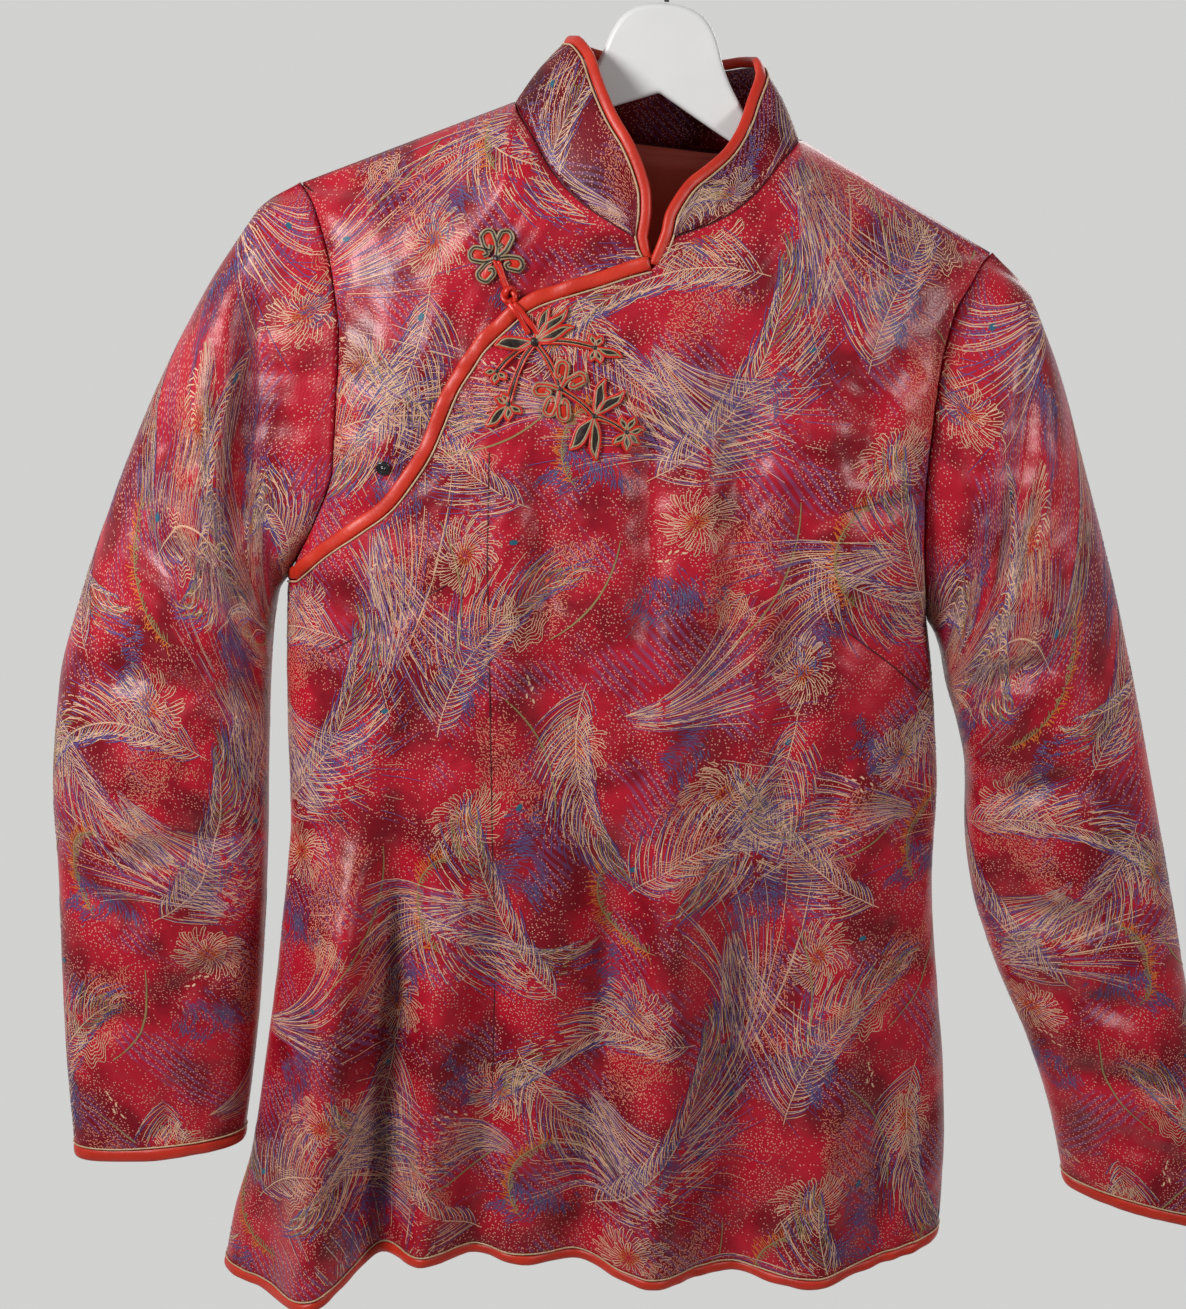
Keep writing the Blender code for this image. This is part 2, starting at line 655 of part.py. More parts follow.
def build_front(group, materials):
    bottom, top = main_front_edges()
    points, normals = panel_grid(-1, bottom, top, FRONT_ROWS, 1.3)
    make_wall("front", points, points - WALL * normals, group, materials["brocade"])
    count = OPENING_COLUMNS + 1
    path, directions = points[-1, :count], normals[-1, :count]
    outward = edge_outward(path, directions, np.array((-0.5, 0.0, 1.0)))
    trim = slice(1, count)
    make_strip("opening_binding", path[trim], outward[trim], directions[trim], OPENING_BINDING,
               group, materials["binding"], flip=True)
    outward = edge_outward(points[0], normals[0], np.array((0.0, 0.0, -1.0)))
    make_strip("hem_binding_front", points[0], outward, normals[0], HEM_BINDING,
               group, materials["binding"])
    return points


def build_underlap(group, materials):
    count = 14
    bottom_x = np.linspace(-0.1900, 0.0040, count + 1)
    bottom_x, bottom_z = opening_edge(-UNDERLAP_TUCK, bottom_x)
    bottom_turn, bottom_z = as_turns(bottom_x, bottom_z)
    bottom_turn[0] = -90.0
    bottom_z[0] = -0.4100
    shoulder_x, shoulder_z = shoulder_points(-1, 7)
    degrees = np.linspace(90.0, 3.0, count - 7 + 1)[1:]
    neck_x, _, neck_z = neck_point(degrees, -1)
    top_x = np.concatenate((shoulder_x[::-1], neck_x))
    top_z = np.concatenate((shoulder_z[::-1], neck_z))
    top_turn, top_z = as_turns(top_x, top_z)
    top_turn[0] = -90.0
    points, normals = panel_grid(-1, (bottom_turn, bottom_z), (top_turn, top_z), UNDERLAP_ROWS, 1.35, True)
    make_wall("underlap", points, points - WALL * normals, group, materials["brocade"])


def build_back(group, materials):
    left_x, left_z = shoulder_points(-1, 6)
    right_x, right_z = shoulder_points(1, 6)
    degrees = np.linspace(90.0, 180.0, 7)
    neck_left = neck_point(degrees[1:], -1)
    neck_right = neck_point(degrees[::-1][1:-1], 1)
    top_x = np.concatenate((left_x[::-1], neck_left[0], neck_right[0], right_x))
    top_z = np.concatenate((left_z[::-1], neck_left[2], neck_right[2], right_z))
    turn, z = as_turns(top_x, top_z)
    turn[0], turn[-1] = -90.0, 90.0
    bottom = hem_edge(1, np.linspace(-90.0, 90.0, len(turn)))
    points, normals = panel_grid(1, bottom, (turn, z), BACK_ROWS, 1.35)
    make_wall("back", points, points - WALL * normals, group, materials["brocade"], flip=True)
    outward = edge_outward(points[0], normals[0], np.array((0.0, 0.0, -1.0)))
    make_strip("hem_binding_back", points[0], outward, normals[0], HEM_BINDING,
               group, materials["binding"], flip=True)
    return points


def armhole_loop(sign):
    """Armhole points and body normals: tip, front, underarm, back."""
    table = LEFT_EDGE if sign < 0 else RIGHT_EDGE
    tip_z = SHOULDER_TIPS[sign][1]
    pit_z = table[8][0]
    half = SLEEVE_AROUND // 2
    fine = np.linspace(0.0, 1.0, 200)
    loops = []
    for side in (-1, 1):
        z = tip_z + (pit_z - tip_z) * fine
        turn = np.full_like(z, 90.0 * sign)
        points = body_point(side, turn, z)
        length = np.concatenate(([0.0], np.cumsum(np.linalg.norm(np.diff(points, axis=0), axis=1))))
        even = np.interp(np.linspace(0.0, length[-1], half + 1), length, z)
        turn = np.full_like(even, 90.0 * sign)
        points = body_point(side, turn, even)
        normals = body_normal(side, turn, even)
        normals[..., 1] = normals[..., 1] * np.clip(np.abs(points[..., 1]) / SEAM_BLEND, 0.0, 1.0)
        loops.append((points, unit(normals)))
    front, back = loops
    points = np.concatenate((front[0], back[0][1:-1][::-1]))
    normals = np.concatenate((front[1], back[1][1:-1][::-1]))
    points[0, 1] = 0.0
    points[half, 1] = 0.0
    return points, normals


def sleeve_ring(row):
    """Flattened ring between the outer and inner lines of a sleeve station."""
    outer_x, outer_z, inner_x, inner_z, front, back = row
    angle = np.linspace(0.0, 2 * math.pi, SLEEVE_AROUND, endpoint=False)
    part = (1 + np.cos(angle)) / 2
    depth = np.where(np.sin(angle) >= 0, -front, back) * np.abs(np.sin(angle)) ** 0.85
    x = inner_x + (outer_x - inner_x) * part
    z = inner_z + (outer_z - inner_z) * part
    y = depth + fold_push(SLEEVE_FOLDS, -1, x, z) * (depth < 0) * np.abs(np.sin(angle))
    y = y - fold_push(SLEEVE_FOLDS, 1, x, z) * (depth > 0) * np.abs(np.sin(angle))
    return np.stack((x, y, z), axis=-1)


def build_sleeve(sign, group, materials):
    name = "sleeve_right" if sign < 0 else "sleeve_left"
    table = LEFT_SLEEVE if sign < 0 else RIGHT_SLEEVE
    stations = np.arange(len(table))
    wanted = np.linspace(0, len(table) - 1, SLEEVE_ROWS)
    columns = [smooth(stations, column(table, number), wanted) for number in range(6)]
    rings = [sleeve_ring(row) for row in zip(*columns)]
    loop, body_normals = armhole_loop(sign)
    along = unit(np.roll(loop, -1, axis=0) - np.roll(loop, 1, axis=0))
    away = unit(-sign * np.cross(along, body_normals))
    start = loop + away * SLEEVE_GAP + body_normals * SLEEVE_PROUD
    points = np.stack([start] + rings)
    around = np.roll(points, -1, axis=1) - np.roll(points, 1, axis=1)
    down = np.gradient(points, axis=0)
    normals = unit(sign * np.cross(around, down))
    lean = np.sum(normals[0] * away, axis=-1, keepdims=True)
    normals[0] = unit(normals[0] - np.maximum(lean, 0.0) * away)
    make_wall(name, points, points - WALL * normals, group, materials["brocade"],
              closed=True, flip=sign < 0)
    cuff = points[-1]
    outward = unit(points[-1] - points[-2])
    square = np.sum(outward * normals[-1], axis=-1, keepdims=True)
    outward = unit(outward - square * normals[-1])
    make_strip("cuff_binding_" + ("right" if sign < 0 else "left"), cuff, outward, normals[-1],
               CUFF_BINDING, group, materials["binding"], closed=True, flip=sign > 0)


def collar_side(table, sign, count):
    """Base and edge points of one half of the collar, from the centre front to the back."""
    place = np.linspace(0.0, 1.0, count + 1) ** 1.25 * (len(table) - 1)
    rows = np.arange(len(table))
    degrees, x, y, z = (smooth(rows, column(table, number), place) for number in range(4))
    base_x, base_y, base_z = neck_point(degrees, sign)
    if sign < 0:
        base_y = base_y + underlap_recess(base_x, base_z) * (degrees < 90)
    return np.stack((base_x, base_y, base_z), axis=-1), np.stack((x, y, z), axis=-1)


def neck_normals(base):
    """Directions out of the body cloth along the neckline."""
    turns = turn_of(base[:, 0], base[:, 2])
    front = body_normal(-1, turns, base[:, 2])
    back = body_normal(1, turns, base[:, 2])
    normals = np.where(base[:, 1:2] < 0, front, back)
    normals[:, 1] = normals[:, 1] * np.clip(np.abs(base[:, 1]) / SEAM_BLEND, 0.0, 1.0)
    return unit(normals)


def build_collar(group, materials):
    left_base, left_edge = collar_side(COLLAR_LEFT, -1, COLLAR_COLUMNS)
    right_base, right_edge = collar_side(COLLAR_RIGHT, 1, COLLAR_COLUMNS)
    base = np.concatenate((left_base, right_base[::-1][1:]))
    edge = np.concatenate((left_edge, right_edge[::-1][1:]))
    along = unit(np.gradient(edge, axis=0))
    rise = unit(edge - base)
    normals = unit(np.cross(rise, along))
    inward = unit(np.cross(along, normals))
    sign = np.sign(np.sum(inward * (base - edge), axis=-1, keepdims=True))
    inward = inward * sign
    top = edge + inward * (COLLAR_BINDING + SEAM_GAP)
    cloth = neck_normals(base)
    away = unit(rise - np.sum(rise * cloth, axis=-1, keepdims=True) * cloth)
    foot = base + away * COLLAR_GAP + cloth * COLLAR_PROUD
    up = np.linspace(0.0, 1.0, COLLAR_ROWS + 1)[:, None, None]
    swell = COLLAR_SWELL * np.sin(math.pi * up)
    points = foot[None] + (top - foot)[None] * up + normals[None] * swell
    walls = np.repeat(normals[None], COLLAR_ROWS + 1, axis=0)
    lean = np.sum(normals * away, axis=-1, keepdims=True)
    walls[0] = unit(normals - np.maximum(lean, 0.0) * away)
    make_wall("collar", points, points - WALL * walls, group, materials["brocade"], flip=True)
    make_strip("collar_binding", top, -inward, normals, COLLAR_BINDING, group, materials["binding"])


def on_front(x, z, lift, tucked):
    """Points lifted off the front cloth at x and height."""
    turn = turn_of(x, z)
    return body_point(-1, turn, z, tucked) + lift[..., None] * body_normal(-1, turn, z, tucked)


def petal_outline(centre, heart, tip, width):
    """Leaf outline from one side of its root round the tip to the other side."""
    centre, tip = np.array(centre), np.array(tip)
    axis = tip - centre
    length = np.linalg.norm(axis)
    axis = axis / length
    across = np.array((-axis[1], axis[0]))
    start = heart / length
    sides = [(start + (1 - start) * along, share) for along, share in PETAL_SHAPE]
    right = [centre + axis * length * along - across * width / 2 * share for along, share in sides]
    left = [centre + axis * length * along + across * width / 2 * share for along, share in sides[:-1]]
    return right + left[::-1]


def frog_outline(table, name, arrive=None):
    """Outline of a flower, its petals and the flowers that hang from it, turning anticlockwise."""
    row = next(item for item in table if item[0] == name)
    centre = np.array((row[1], row[2]))
    items = []
    heart = row[4]
    for tip_x, tip_z, width in row[5]:
        items.append((math.atan2(tip_z - row[2], tip_x - row[1]), "petal", (tip_x, tip_z, width)))
    for child in table:
        if child[3] == name:
            items.append((math.atan2(child[2] - row[2], child[1] - row[1]), "stem", child))
    start = arrive if arrive is not None else min(item[0] for item in items) - 0.3
    items.sort(key=lambda item: (item[0] - start) % (2 * math.pi))
    outline = []
    for angle, kind, what in items:
        if kind == "petal":
            outline += petal_outline(centre, heart, what[:2], what[2])
            continue
        direction = np.array((math.cos(angle), math.sin(angle)))
        across = np.array((-direction[1], direction[0])) * STEM_HALF
        end = np.array((what[1], what[2]))
        outline += [centre + direction * heart - across, end - direction * what[4] - across]
        outline += frog_outline(table, what[0], (angle + math.pi) % (2 * math.pi))
        outline += [end - direction * what[4] + across, centre + direction * heart + across]
    return outline


def build_frog(name, table, tucked, group, material):
    """Flat frog cut from its outline and laid on the cloth."""
    outline = frog_outline(table, table[0][0])
    curve = bpy.data.curves.new(name + "_outline", "CURVE")
    curve.dimensions = "2D"
    curve.fill_mode = "BOTH"
    curve.extrude = FROG_THICK / 2
    spline = curve.splines.new("POLY")
    spline.points.add(len(outline) - 1)
    for point, (x, z) in zip(spline.points, outline):
        point.co = (x, z, 0.0, 1.0)
    spline.use_cyclic_u = True
    drawn = bpy.data.objects.new(name + "_drawn", curve)
    group.objects.link(drawn)
    graph = bpy.context.evaluated_depsgraph_get()
    mesh = bpy.data.meshes.new_from_object(drawn.evaluated_get(graph))
    bpy.data.objects.remove(drawn)
    flat = np.array([tuple(vertex.co) for vertex in mesh.vertices])
    faces = [tuple(polygon.vertices) for polygon in mesh.polygons]
    lift = FROG_LIFT + FROG_THICK / 2 + flat[:, 2]
    points = on_front(flat[:, 0], flat[:, 1], lift, tucked)
    bpy.data.meshes.remove(mesh)
    item = make_mesh(name, points, faces, group, material)
    weld(item)
    return item


def weld(item):
    """Join the points that a filled curve leaves doubled and turn the faces outward."""
    work = bmesh.new()
    work.from_mesh(item.data)
    bmesh.ops.remove_doubles(work, verts=work.verts, dist=MERGE)
    bmesh.ops.recalc_face_normals(work, faces=work.faces)
    work.to_mesh(item.data)
    work.free()


def build_small_parts(group, materials):
    lift = np.array([KNOT_SIZE[1] + 0.0006])
    centre = on_front(np.array([KNOT_AT[0]]), np.array([KNOT_AT[1]]), lift, True)[0]
    bpy.ops.mesh.primitive_uv_sphere_add(segments=12, ring_count=7, radius=1.0, location=centre)
    knot = bpy.context.object
    knot.scale = KNOT_SIZE
    knot.rotation_euler = (0.0, math.radians(28), 0.0)
    place(knot, "frog_knot", group, materials["cord red"])
    lift = np.array([LOOP_CORD + BINDING_PROUD + 0.0006])
    centre = on_front(np.array([LOOP_AT[0]]), np.array([LOOP_AT[1]]), lift, False)[0]
    normal = body_normal(-1, turn_of(LOOP_AT[0], LOOP_AT[1]), LOOP_AT[1])
    bpy.ops.mesh.primitive_torus_add(major_segments=14, minor_segments=5, major_radius=LOOP_RADIUS,
                                     minor_radius=LOOP_CORD, location=centre)
    loop = bpy.context.object
    loop.rotation_euler = (math.radians(90) - math.asin(normal[2]), 0.0, math.atan2(normal[0], -normal[1]))
    place(loop, "frog_loop", group, materials["cord red"])
    lift = np.array([SNAP_THICK / 2 + SNAP_LIFT])
    centre = on_front(np.array([SNAP_AT[0]]), np.array([SNAP_AT[1]]), lift, True)[0]
    normal = body_normal(-1, turn_of(SNAP_AT[0], SNAP_AT[1]), SNAP_AT[1], True)
    bpy.ops.mesh.primitive_cylinder_add(vertices=16, radius=SNAP_RADIUS, depth=SNAP_THICK, location=centre)
    snap = bpy.context.object
    snap.rotation_euler = (math.radians(90) - math.asin(normal[2]), 0.0, math.atan2(normal[0], -normal[1]))
    place(snap, "snap", group, materials["steel"])


def place(item, name, group, material):
    """Name an added object, apply its turn and size, and put it in the part's collection."""
    item.name = name
    item.data.name = name
    item.data.transform(item.matrix_basis)
    item.matrix_basis.identity()
    for old in list(item.users_collection):
        old.objects.unlink(item)
    group.objects.link(item)
    item.data.materials.clear()
    item.data.materials.append(material)


def build_lining(group, materials):
    """Lining where it shows through the neck, just inside the back."""
    x = NECK_SIDE * np.sin(np.radians(np.linspace(-LINING_ACROSS, LINING_ACROSS, 9) * 2.2))
    top_z, _ = top_line(1, x)
    top = as_turns(x, top_z - 0.004)
    bottom = as_turns(x, top_z - LINING_DEPTH)
    points, normals = panel_grid(1, bottom, top, 5, 1.0)
    outer = points - normals * (WALL + LINING_CLEAR)
    make_wall("neck_lining", outer, outer - normals * LINING_THICK, group, materials["lining"], flip=True)


def hanger_side(sign):
    """Outline of one half of the hanger; its arm follows the shoulder line above it."""
    tip_x, tip_z = SHOULDER_TIPS[sign]
    start_x = sign * NECK_SIDE
    start_z = NECK_LOOP[5][2] + NECK_TILT * start_x
    slope = (tip_z - start_z) / (tip_x - start_x)
    head = [(sign * x, z) for x, z in HANGER_HEAD]
    arm = [(sign * x, start_z + slope * (sign * x - start_x) - drop) for x, drop in HANGER_ARM]
    return head + arm


def build_hanger(group, materials):
    outline = hanger_side(1) + [HANGER_VEE] + hanger_side(-1)[::-1][:-1]
    curve = bpy.data.curves.new("hanger_outline", "CURVE")
    curve.dimensions = "2D"
    curve.fill_mode = "BOTH"
    curve.extrude = HANGER_THICK / 2 - HANGER_BEVEL
    curve.bevel_depth = HANGER_BEVEL
    curve.bevel_resolution = 1
    curve.offset = -HANGER_BEVEL
    spline = curve.splines.new("POLY")
    spline.points.add(len(outline) - 1)
    for point, (x, z) in zip(spline.points, outline):
        point.co = (x, z, 0.0, 1.0)
    spline.use_cyclic_u = True
    drawn = bpy.data.objects.new("hanger_drawn", curve)
    drawn.rotation_euler = (math.radians(90), 0.0, 0.0)
    group.objects.link(drawn)
    graph = bpy.context.evaluated_depsgraph_get()
    mesh = bpy.data.meshes.new_from_object(drawn.evaluated_get(graph))
    mesh.transform(drawn.matrix_basis)
    bpy.data.objects.remove(drawn)
    item = bpy.data.objects.new("hanger", mesh)
    group.objects.link(item)
    mesh.materials.clear()
    mesh.materials.append(materials["white"])
    weld(item)


def build_hook(group, materials):
    """Wire hook, swept along its centre line."""
    points = list(HOOK_STEM)
    reach = HOOK_RADIUS + HOOK_WIRE
    for step in range(15):
        angle = math.radians(HOOK_ARC[0] + (HOOK_ARC[1] - HOOK_ARC[0]) * step / 14)
        points.append((HOOK_CENTRE[0] + reach * math.cos(angle), HOOK_CENTRE[1] + reach * math.sin(angle)))
    curve = bpy.data.curves.new("hook_line", "CURVE")
    curve.dimensions = "3D"
    curve.bevel_depth = HOOK_WIRE
    curve.bevel_resolution = 2
    curve.use_fill_caps = True
    spline = curve.splines.new("POLY")
    spline.points.add(len(points) - 1)
    for point, (x, z) in zip(spline.points, points):
        point.co = (x, 0.0, z, 1.0)
    drawn = bpy.data.objects.new("hook_drawn", curve)
    group.objects.link(drawn)
    graph = bpy.context.evaluated_depsgraph_get()
    mesh = bpy.data.meshes.new_from_object(drawn.evaluated_get(graph))
    bpy.data.objects.remove(drawn)
    item = bpy.data.objects.new("hook", mesh)
    group.objects.link(item)
    mesh.materials.clear()
    mesh.materials.append(materials["steel"])
    weld(item)


def main():
    clear_scene()
    group = make_collection("padded_jacket")
    materials = {
        "brocade": make_material("brocade", BROCADE),
        "binding": make_material("binding satin", BINDING),
        "lining": make_material("lining", LINING),
        "cord black": make_material("frog cord", CORD_BLACK),
        "cord red": make_material("red cord", CORD_RED),
        "steel": make_material("steel", STEEL),
        "white": make_material("white hanger", WHITE),
    }
    build_front(group, materials)
    build_underlap(group, materials)
    build_back(group, materials)
    build_sleeve(-1, group, materials)
    build_sleeve(1, group, materials)
    build_collar(group, materials)
    build_lining(group, materials)
    build_frog("frog_flower", FLOWER, True, group, materials["cord black"])
    build_frog("frog_spray", SPRAY, False, group, materials["cord black"])
    build_small_parts(group, materials)
    build_hanger(group, materials)
    build_hook(group, materials)


main()
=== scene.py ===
"""Looks of the padded stand-collar jacket: brocade panels, satin bindings, corded frogs, hanger and stage.

Metres, +Z up, the front faces -Y, the origin is the inside top of the hook's bend.
Each panel is a thin closed shell on the surface of its solid, with its creases placed one by one.
The brocade's lines are narrow ribbons drawn in flat cloth sizes and laid just above the panels.
"""
import math

import bpy
import numpy as np
from mathutils import Matrix, Vector


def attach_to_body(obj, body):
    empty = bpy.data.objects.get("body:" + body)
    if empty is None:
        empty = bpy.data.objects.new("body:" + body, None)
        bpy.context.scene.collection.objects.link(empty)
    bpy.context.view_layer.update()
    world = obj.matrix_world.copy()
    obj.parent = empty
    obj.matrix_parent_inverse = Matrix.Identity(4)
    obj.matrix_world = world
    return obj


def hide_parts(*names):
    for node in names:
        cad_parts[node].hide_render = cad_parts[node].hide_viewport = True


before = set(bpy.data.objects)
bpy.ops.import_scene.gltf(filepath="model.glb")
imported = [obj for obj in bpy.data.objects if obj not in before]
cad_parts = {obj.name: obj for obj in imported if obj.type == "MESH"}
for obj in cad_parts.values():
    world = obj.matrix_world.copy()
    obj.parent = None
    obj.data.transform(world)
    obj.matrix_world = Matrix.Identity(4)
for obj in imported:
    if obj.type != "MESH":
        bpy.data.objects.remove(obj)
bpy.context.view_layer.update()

# Cloth wall, and the gaps left at its seams
WALL = 0.0032
SEAM_GAP = 0.0004
HALF_SEAM = 0.0003
SLEEVE_GAP = 0.0012
COLLAR_GAP = 0.0010
# How far the sleeve heads and the collar's foot stand proud of the body
SLEEVE_PROUD = 0.0005
COLLAR_PROUD = 0.0003
# Steps in height and in degrees for reading which way a surface faces
STEP = 0.0005
TURN_STEP = 0.5
# Depth over which a wall turns square to a side or shoulder seam
SEAM_BLEND = 0.012
# Body section: its squareness, and how it falls away below the shoulders and the neck
ROUND_POWER = 2.6
FALL_POWER = 0.75
SHOULDER_FALL = 0.075
NECK_FALL = 0.042
NECK_BLEND = 0.060
NECK_SIDE = 0.082
# Underlap: how far it lies back, how far it reaches under the front, where the drop starts and fades
UNDERLAP_DROP = 0.0045
UNDERLAP_TUCK = 0.016
RECESS_START = 0.006
RECESS_FADE = 0.022
SLOPE_REACH = 0.008

# Bindings: width along the cloth, and how far they stand proud of it
OPENING_BINDING = 0.0080
COLLAR_BINDING = 0.0062
CUFF_BINDING = 0.0086
HEM_BINDING = 0.0066
BINDING_PROUD = 0.0005
# Where the cream line beside a binding lies: lift off the cloth and step in from the binding
LINE_SEAT = (0.0004, 0.0006)

# Body edges at the wearer's right (seen at the left): height, x, front edge y, back edge y
LEFT_EDGE = (
    (-0.900, -0.2215, 0.000, 0.000),
    (-0.843, -0.2150, 0.000, 0.000),
    (-0.796, -0.2050, 0.000, 0.000),
    (-0.743, -0.2000, 0.000, 0.000),
    (-0.648, -0.1930, 0.000, 0.000),
    (-0.581, -0.1905, 0.000, 0.000),
    (-0.529, -0.1940, 0.000, 0.000),
    (-0.465, -0.1980, 0.000, 0.000),
    (-0.425, -0.1990, 0.000, 0.000),
    (-0.412, -0.1940, -0.016, 0.014),
    (-0.386, -0.1820, -0.031, 0.027),
    (-0.349, -0.1710, -0.039, 0.034),
    (-0.282, -0.1710, -0.038, 0.032),
    (-0.241, -0.1780, -0.030, 0.026),
    (-0.207, -0.1900, -0.020, 0.018),
    (-0.198, -0.1955, -0.012, 0.011),
    (-0.191, -0.2020, 0.000, 0.000),
    (-0.120, -0.2100, 0.000, 0.000),
)
# Body edges at the wearer's left (seen at the right): height, x, front edge y, back edge y
RIGHT_EDGE = (
    (-0.900, 0.2375, 0.000, 0.000),
    (-0.824, 0.2370, 0.000, 0.000),
    (-0.770, 0.2350, 0.000, 0.000),
    (-0.700, 0.2270, 0.000, 0.000),
    (-0.662, 0.2200, 0.000, 0.000),
    (-0.571, 0.2060, 0.000, 0.000),
    (-0.531, 0.2040, 0.000, 0.000),
    (-0.466, 0.1950, 0.000, 0.000),
    (-0.421, 0.1860, 0.000, 0.000),
    (-0.407, 0.1820, -0.015, 0.013),
    (-0.377, 0.1760, -0.031, 0.027),
    (-0.325, 0.1710, -0.039, 0.034),
    (-0.275, 0.1720, -0.037, 0.032),
    (-0.235, 0.1780, -0.028, 0.025),
    (-0.215, 0.1880, -0.020, 0.018),
    (-0.206, 0.1930, -0.012, 0.011),
    (-0.200, 0.1990, 0.000, 0.000),
    (-0.120, 0.2060, 0.000, 0.000),
)
# Middle of the body: height, front y, back y
MIDDLE = (
    (-0.900, -0.056, 0.040),
    (-0.800, -0.056, 0.038),
    (-0.700, -0.058, 0.036),
    (-0.580, -0.063, 0.036),
    (-0.500, -0.069, 0.040),
    (-0.420, -0.072, 0.045),
    (-0.340, -0.069, 0.047),
    (-0.270, -0.063, 0.048),
    (-0.210, -0.056, 0.048),
    (-0.120, -0.046, 0.044),
)
# Neckline from the centre front: angle, y, height
NECK_LOOP = (
    (0.0, -0.0560, -0.2090),
    (30.0, -0.0485, -0.1890),
    (45.0, -0.0400, -0.1740),
    (60.0, -0.0280, -0.1560),
    (75.0, -0.0140, -0.1460),
    (90.0, 0.0000, -0.1400),
    (120.0, 0.0250, -0.1470),
    (150.0, 0.0430, -0.1540),
    (180.0, 0.0500, -0.1570),
)
# Rise of the neckline for each metre to the right, and the row of its table at the shoulder seam
NECK_TILT = -0.049
NECK_SIDE_ROW = 5
# Shoulder tips by side: x, height
SHOULDER_TIPS = {-1: (-0.202, -0.191), 1: (0.199, -0.200)}
# Centre line of the slanted opening's binding, from the armhole to the neck: x, height
OPENING = (
    (-0.1965, -0.4210),
    (-0.1850, -0.4080),
    (-0.1710, -0.3940),
    (-0.1540, -0.3800),
    (-0.1380, -0.3660),
    (-0.1270, -0.3500),
    (-0.1170, -0.3320),
    (-0.1110, -0.3150),
    (-0.1050, -0.2970),
    (-0.0970, -0.2820),
    (-0.0900, -0.2700),
    (-0.0790, -0.2580),
    (-0.0690, -0.2480),
    (-0.0610, -0.2425),
    (-0.0470, -0.2365),
    (-0.0260, -0.2285),
    (-0.0090, -0.2215),
    (0.0060, -0.2165),
)
# Hem: x, front height, back height
HEM = (
    (-0.2215, -0.8800, -0.8800),
    (-0.2060, -0.8790, -0.8720),
    (-0.1800, -0.8760, -0.8600),
    (-0.1550, -0.8700, -0.8520),
    (-0.1350, -0.8600, -0.8480),
    (-0.1130, -0.8450, -0.8450),
    (-0.0820, -0.8390, -0.8430),
    (-0.0200, -0.8370, -0.8420),
    (0.0640, -0.8390, -0.8420),
    (0.1440, -0.8370, -0.8400),
    (0.1870, -0.8290, -0.8360),
    (0.2180, -0.8220, -0.8280),
    (0.2370, -0.8180, -0.8180),
)
# Large soft folds: side (-1 front, 1 back), top x, top height, bottom x, bottom height, half width, depth
FOLDS = (
    (-1, -0.150, -0.600, -0.160, -0.900, 0.022, -0.0120),
    (-1, -0.120, -0.570, -0.118, -0.900, 0.016, 0.0070),
    (-1, -0.092, -0.640, -0.090, -0.900, 0.017, -0.0045),
    (-1, -0.058, -0.600, -0.056, -0.900, 0.016, 0.0050),
    (-1, 0.010, -0.570, 0.006, -0.900, 0.020, 0.0065),
    (-1, 0.048, -0.580, 0.052, -0.900, 0.020, -0.0050),
    (-1, 0.085, -0.600, 0.108, -0.900, 0.020, 0.0060),
    (-1, 0.150, -0.640, 0.160, -0.900, 0.022, -0.0045),
    (-1, -0.040, -0.390, -0.030, -0.520, 0.018, 0.0040),
    (-1, 0.060, -0.280, 0.066, -0.480, 0.020, 0.0040),
    (1, -0.120, -0.560, -0.130, -0.900, 0.024, -0.0060),
    (1, -0.060, -0.580, -0.062, -0.900, 0.022, 0.0060),
    (1, 0.010, -0.560, 0.012, -0.900, 0.024, -0.0055),
    (1, 0.080, -0.590, 0.088, -0.900, 0.022, 0.0060),
    (1, 0.150, -0.600, 0.165, -0.900, 0.024, -0.0050),
)
# Height over which a fold fades in and out, and its reach past its two ends as shares of its length
FOLD_FADE = 0.10
FOLD_REACH = (-0.5, 1.2)
# A fold that ends below this height runs out over the hem
HEM_FOLDS = -0.85
# Reach for reading the slope of the opening's edge, and its least and greatest slope
EDGE_REACH, EDGE_SLOPES = 0.002, (0.25, 2.0)
# Height where the search for the hem starts, and its passes
HEM_START, HEM_PASSES = -0.84, 3
# Row of the body edge tables at the underarm, and points that measure an armhole's half
PIT_ROW = 8
ARMHOLE_FINE = 200
# Sleeve stations: outer x, outer height, inner x, inner height, front depth, back depth.
# LEFT and RIGHT are as the viewer sees them; the left one is the wearer's right sleeve.
LEFT_SLEEVE = (
    (-0.2270, -0.2090, -0.2045, -0.4330, 0.046, 0.038),
    (-0.2510, -0.2490, -0.2065, -0.4450, 0.050, 0.041),
    (-0.2800, -0.3120, -0.2075, -0.4620, 0.050, 0.042),
    (-0.3030, -0.3760, -0.2075, -0.4850, 0.048, 0.041),
    (-0.3220, -0.4400, -0.2070, -0.5150, 0.045, 0.039),
    (-0.3350, -0.5000, -0.2060, -0.5500, 0.042, 0.037),
    (-0.3375, -0.5600, -0.2045, -0.5900, 0.039, 0.034),
    (-0.3330, -0.6200, -0.2040, -0.6350, 0.036, 0.032),
    (-0.3290, -0.6900, -0.2045, -0.6900, 0.032, 0.029),
    (-0.3245, -0.7500, -0.2070, -0.7420, 0.028, 0.026),
    (-0.3190, -0.8020, -0.2100, -0.7830, 0.025, 0.022),
)
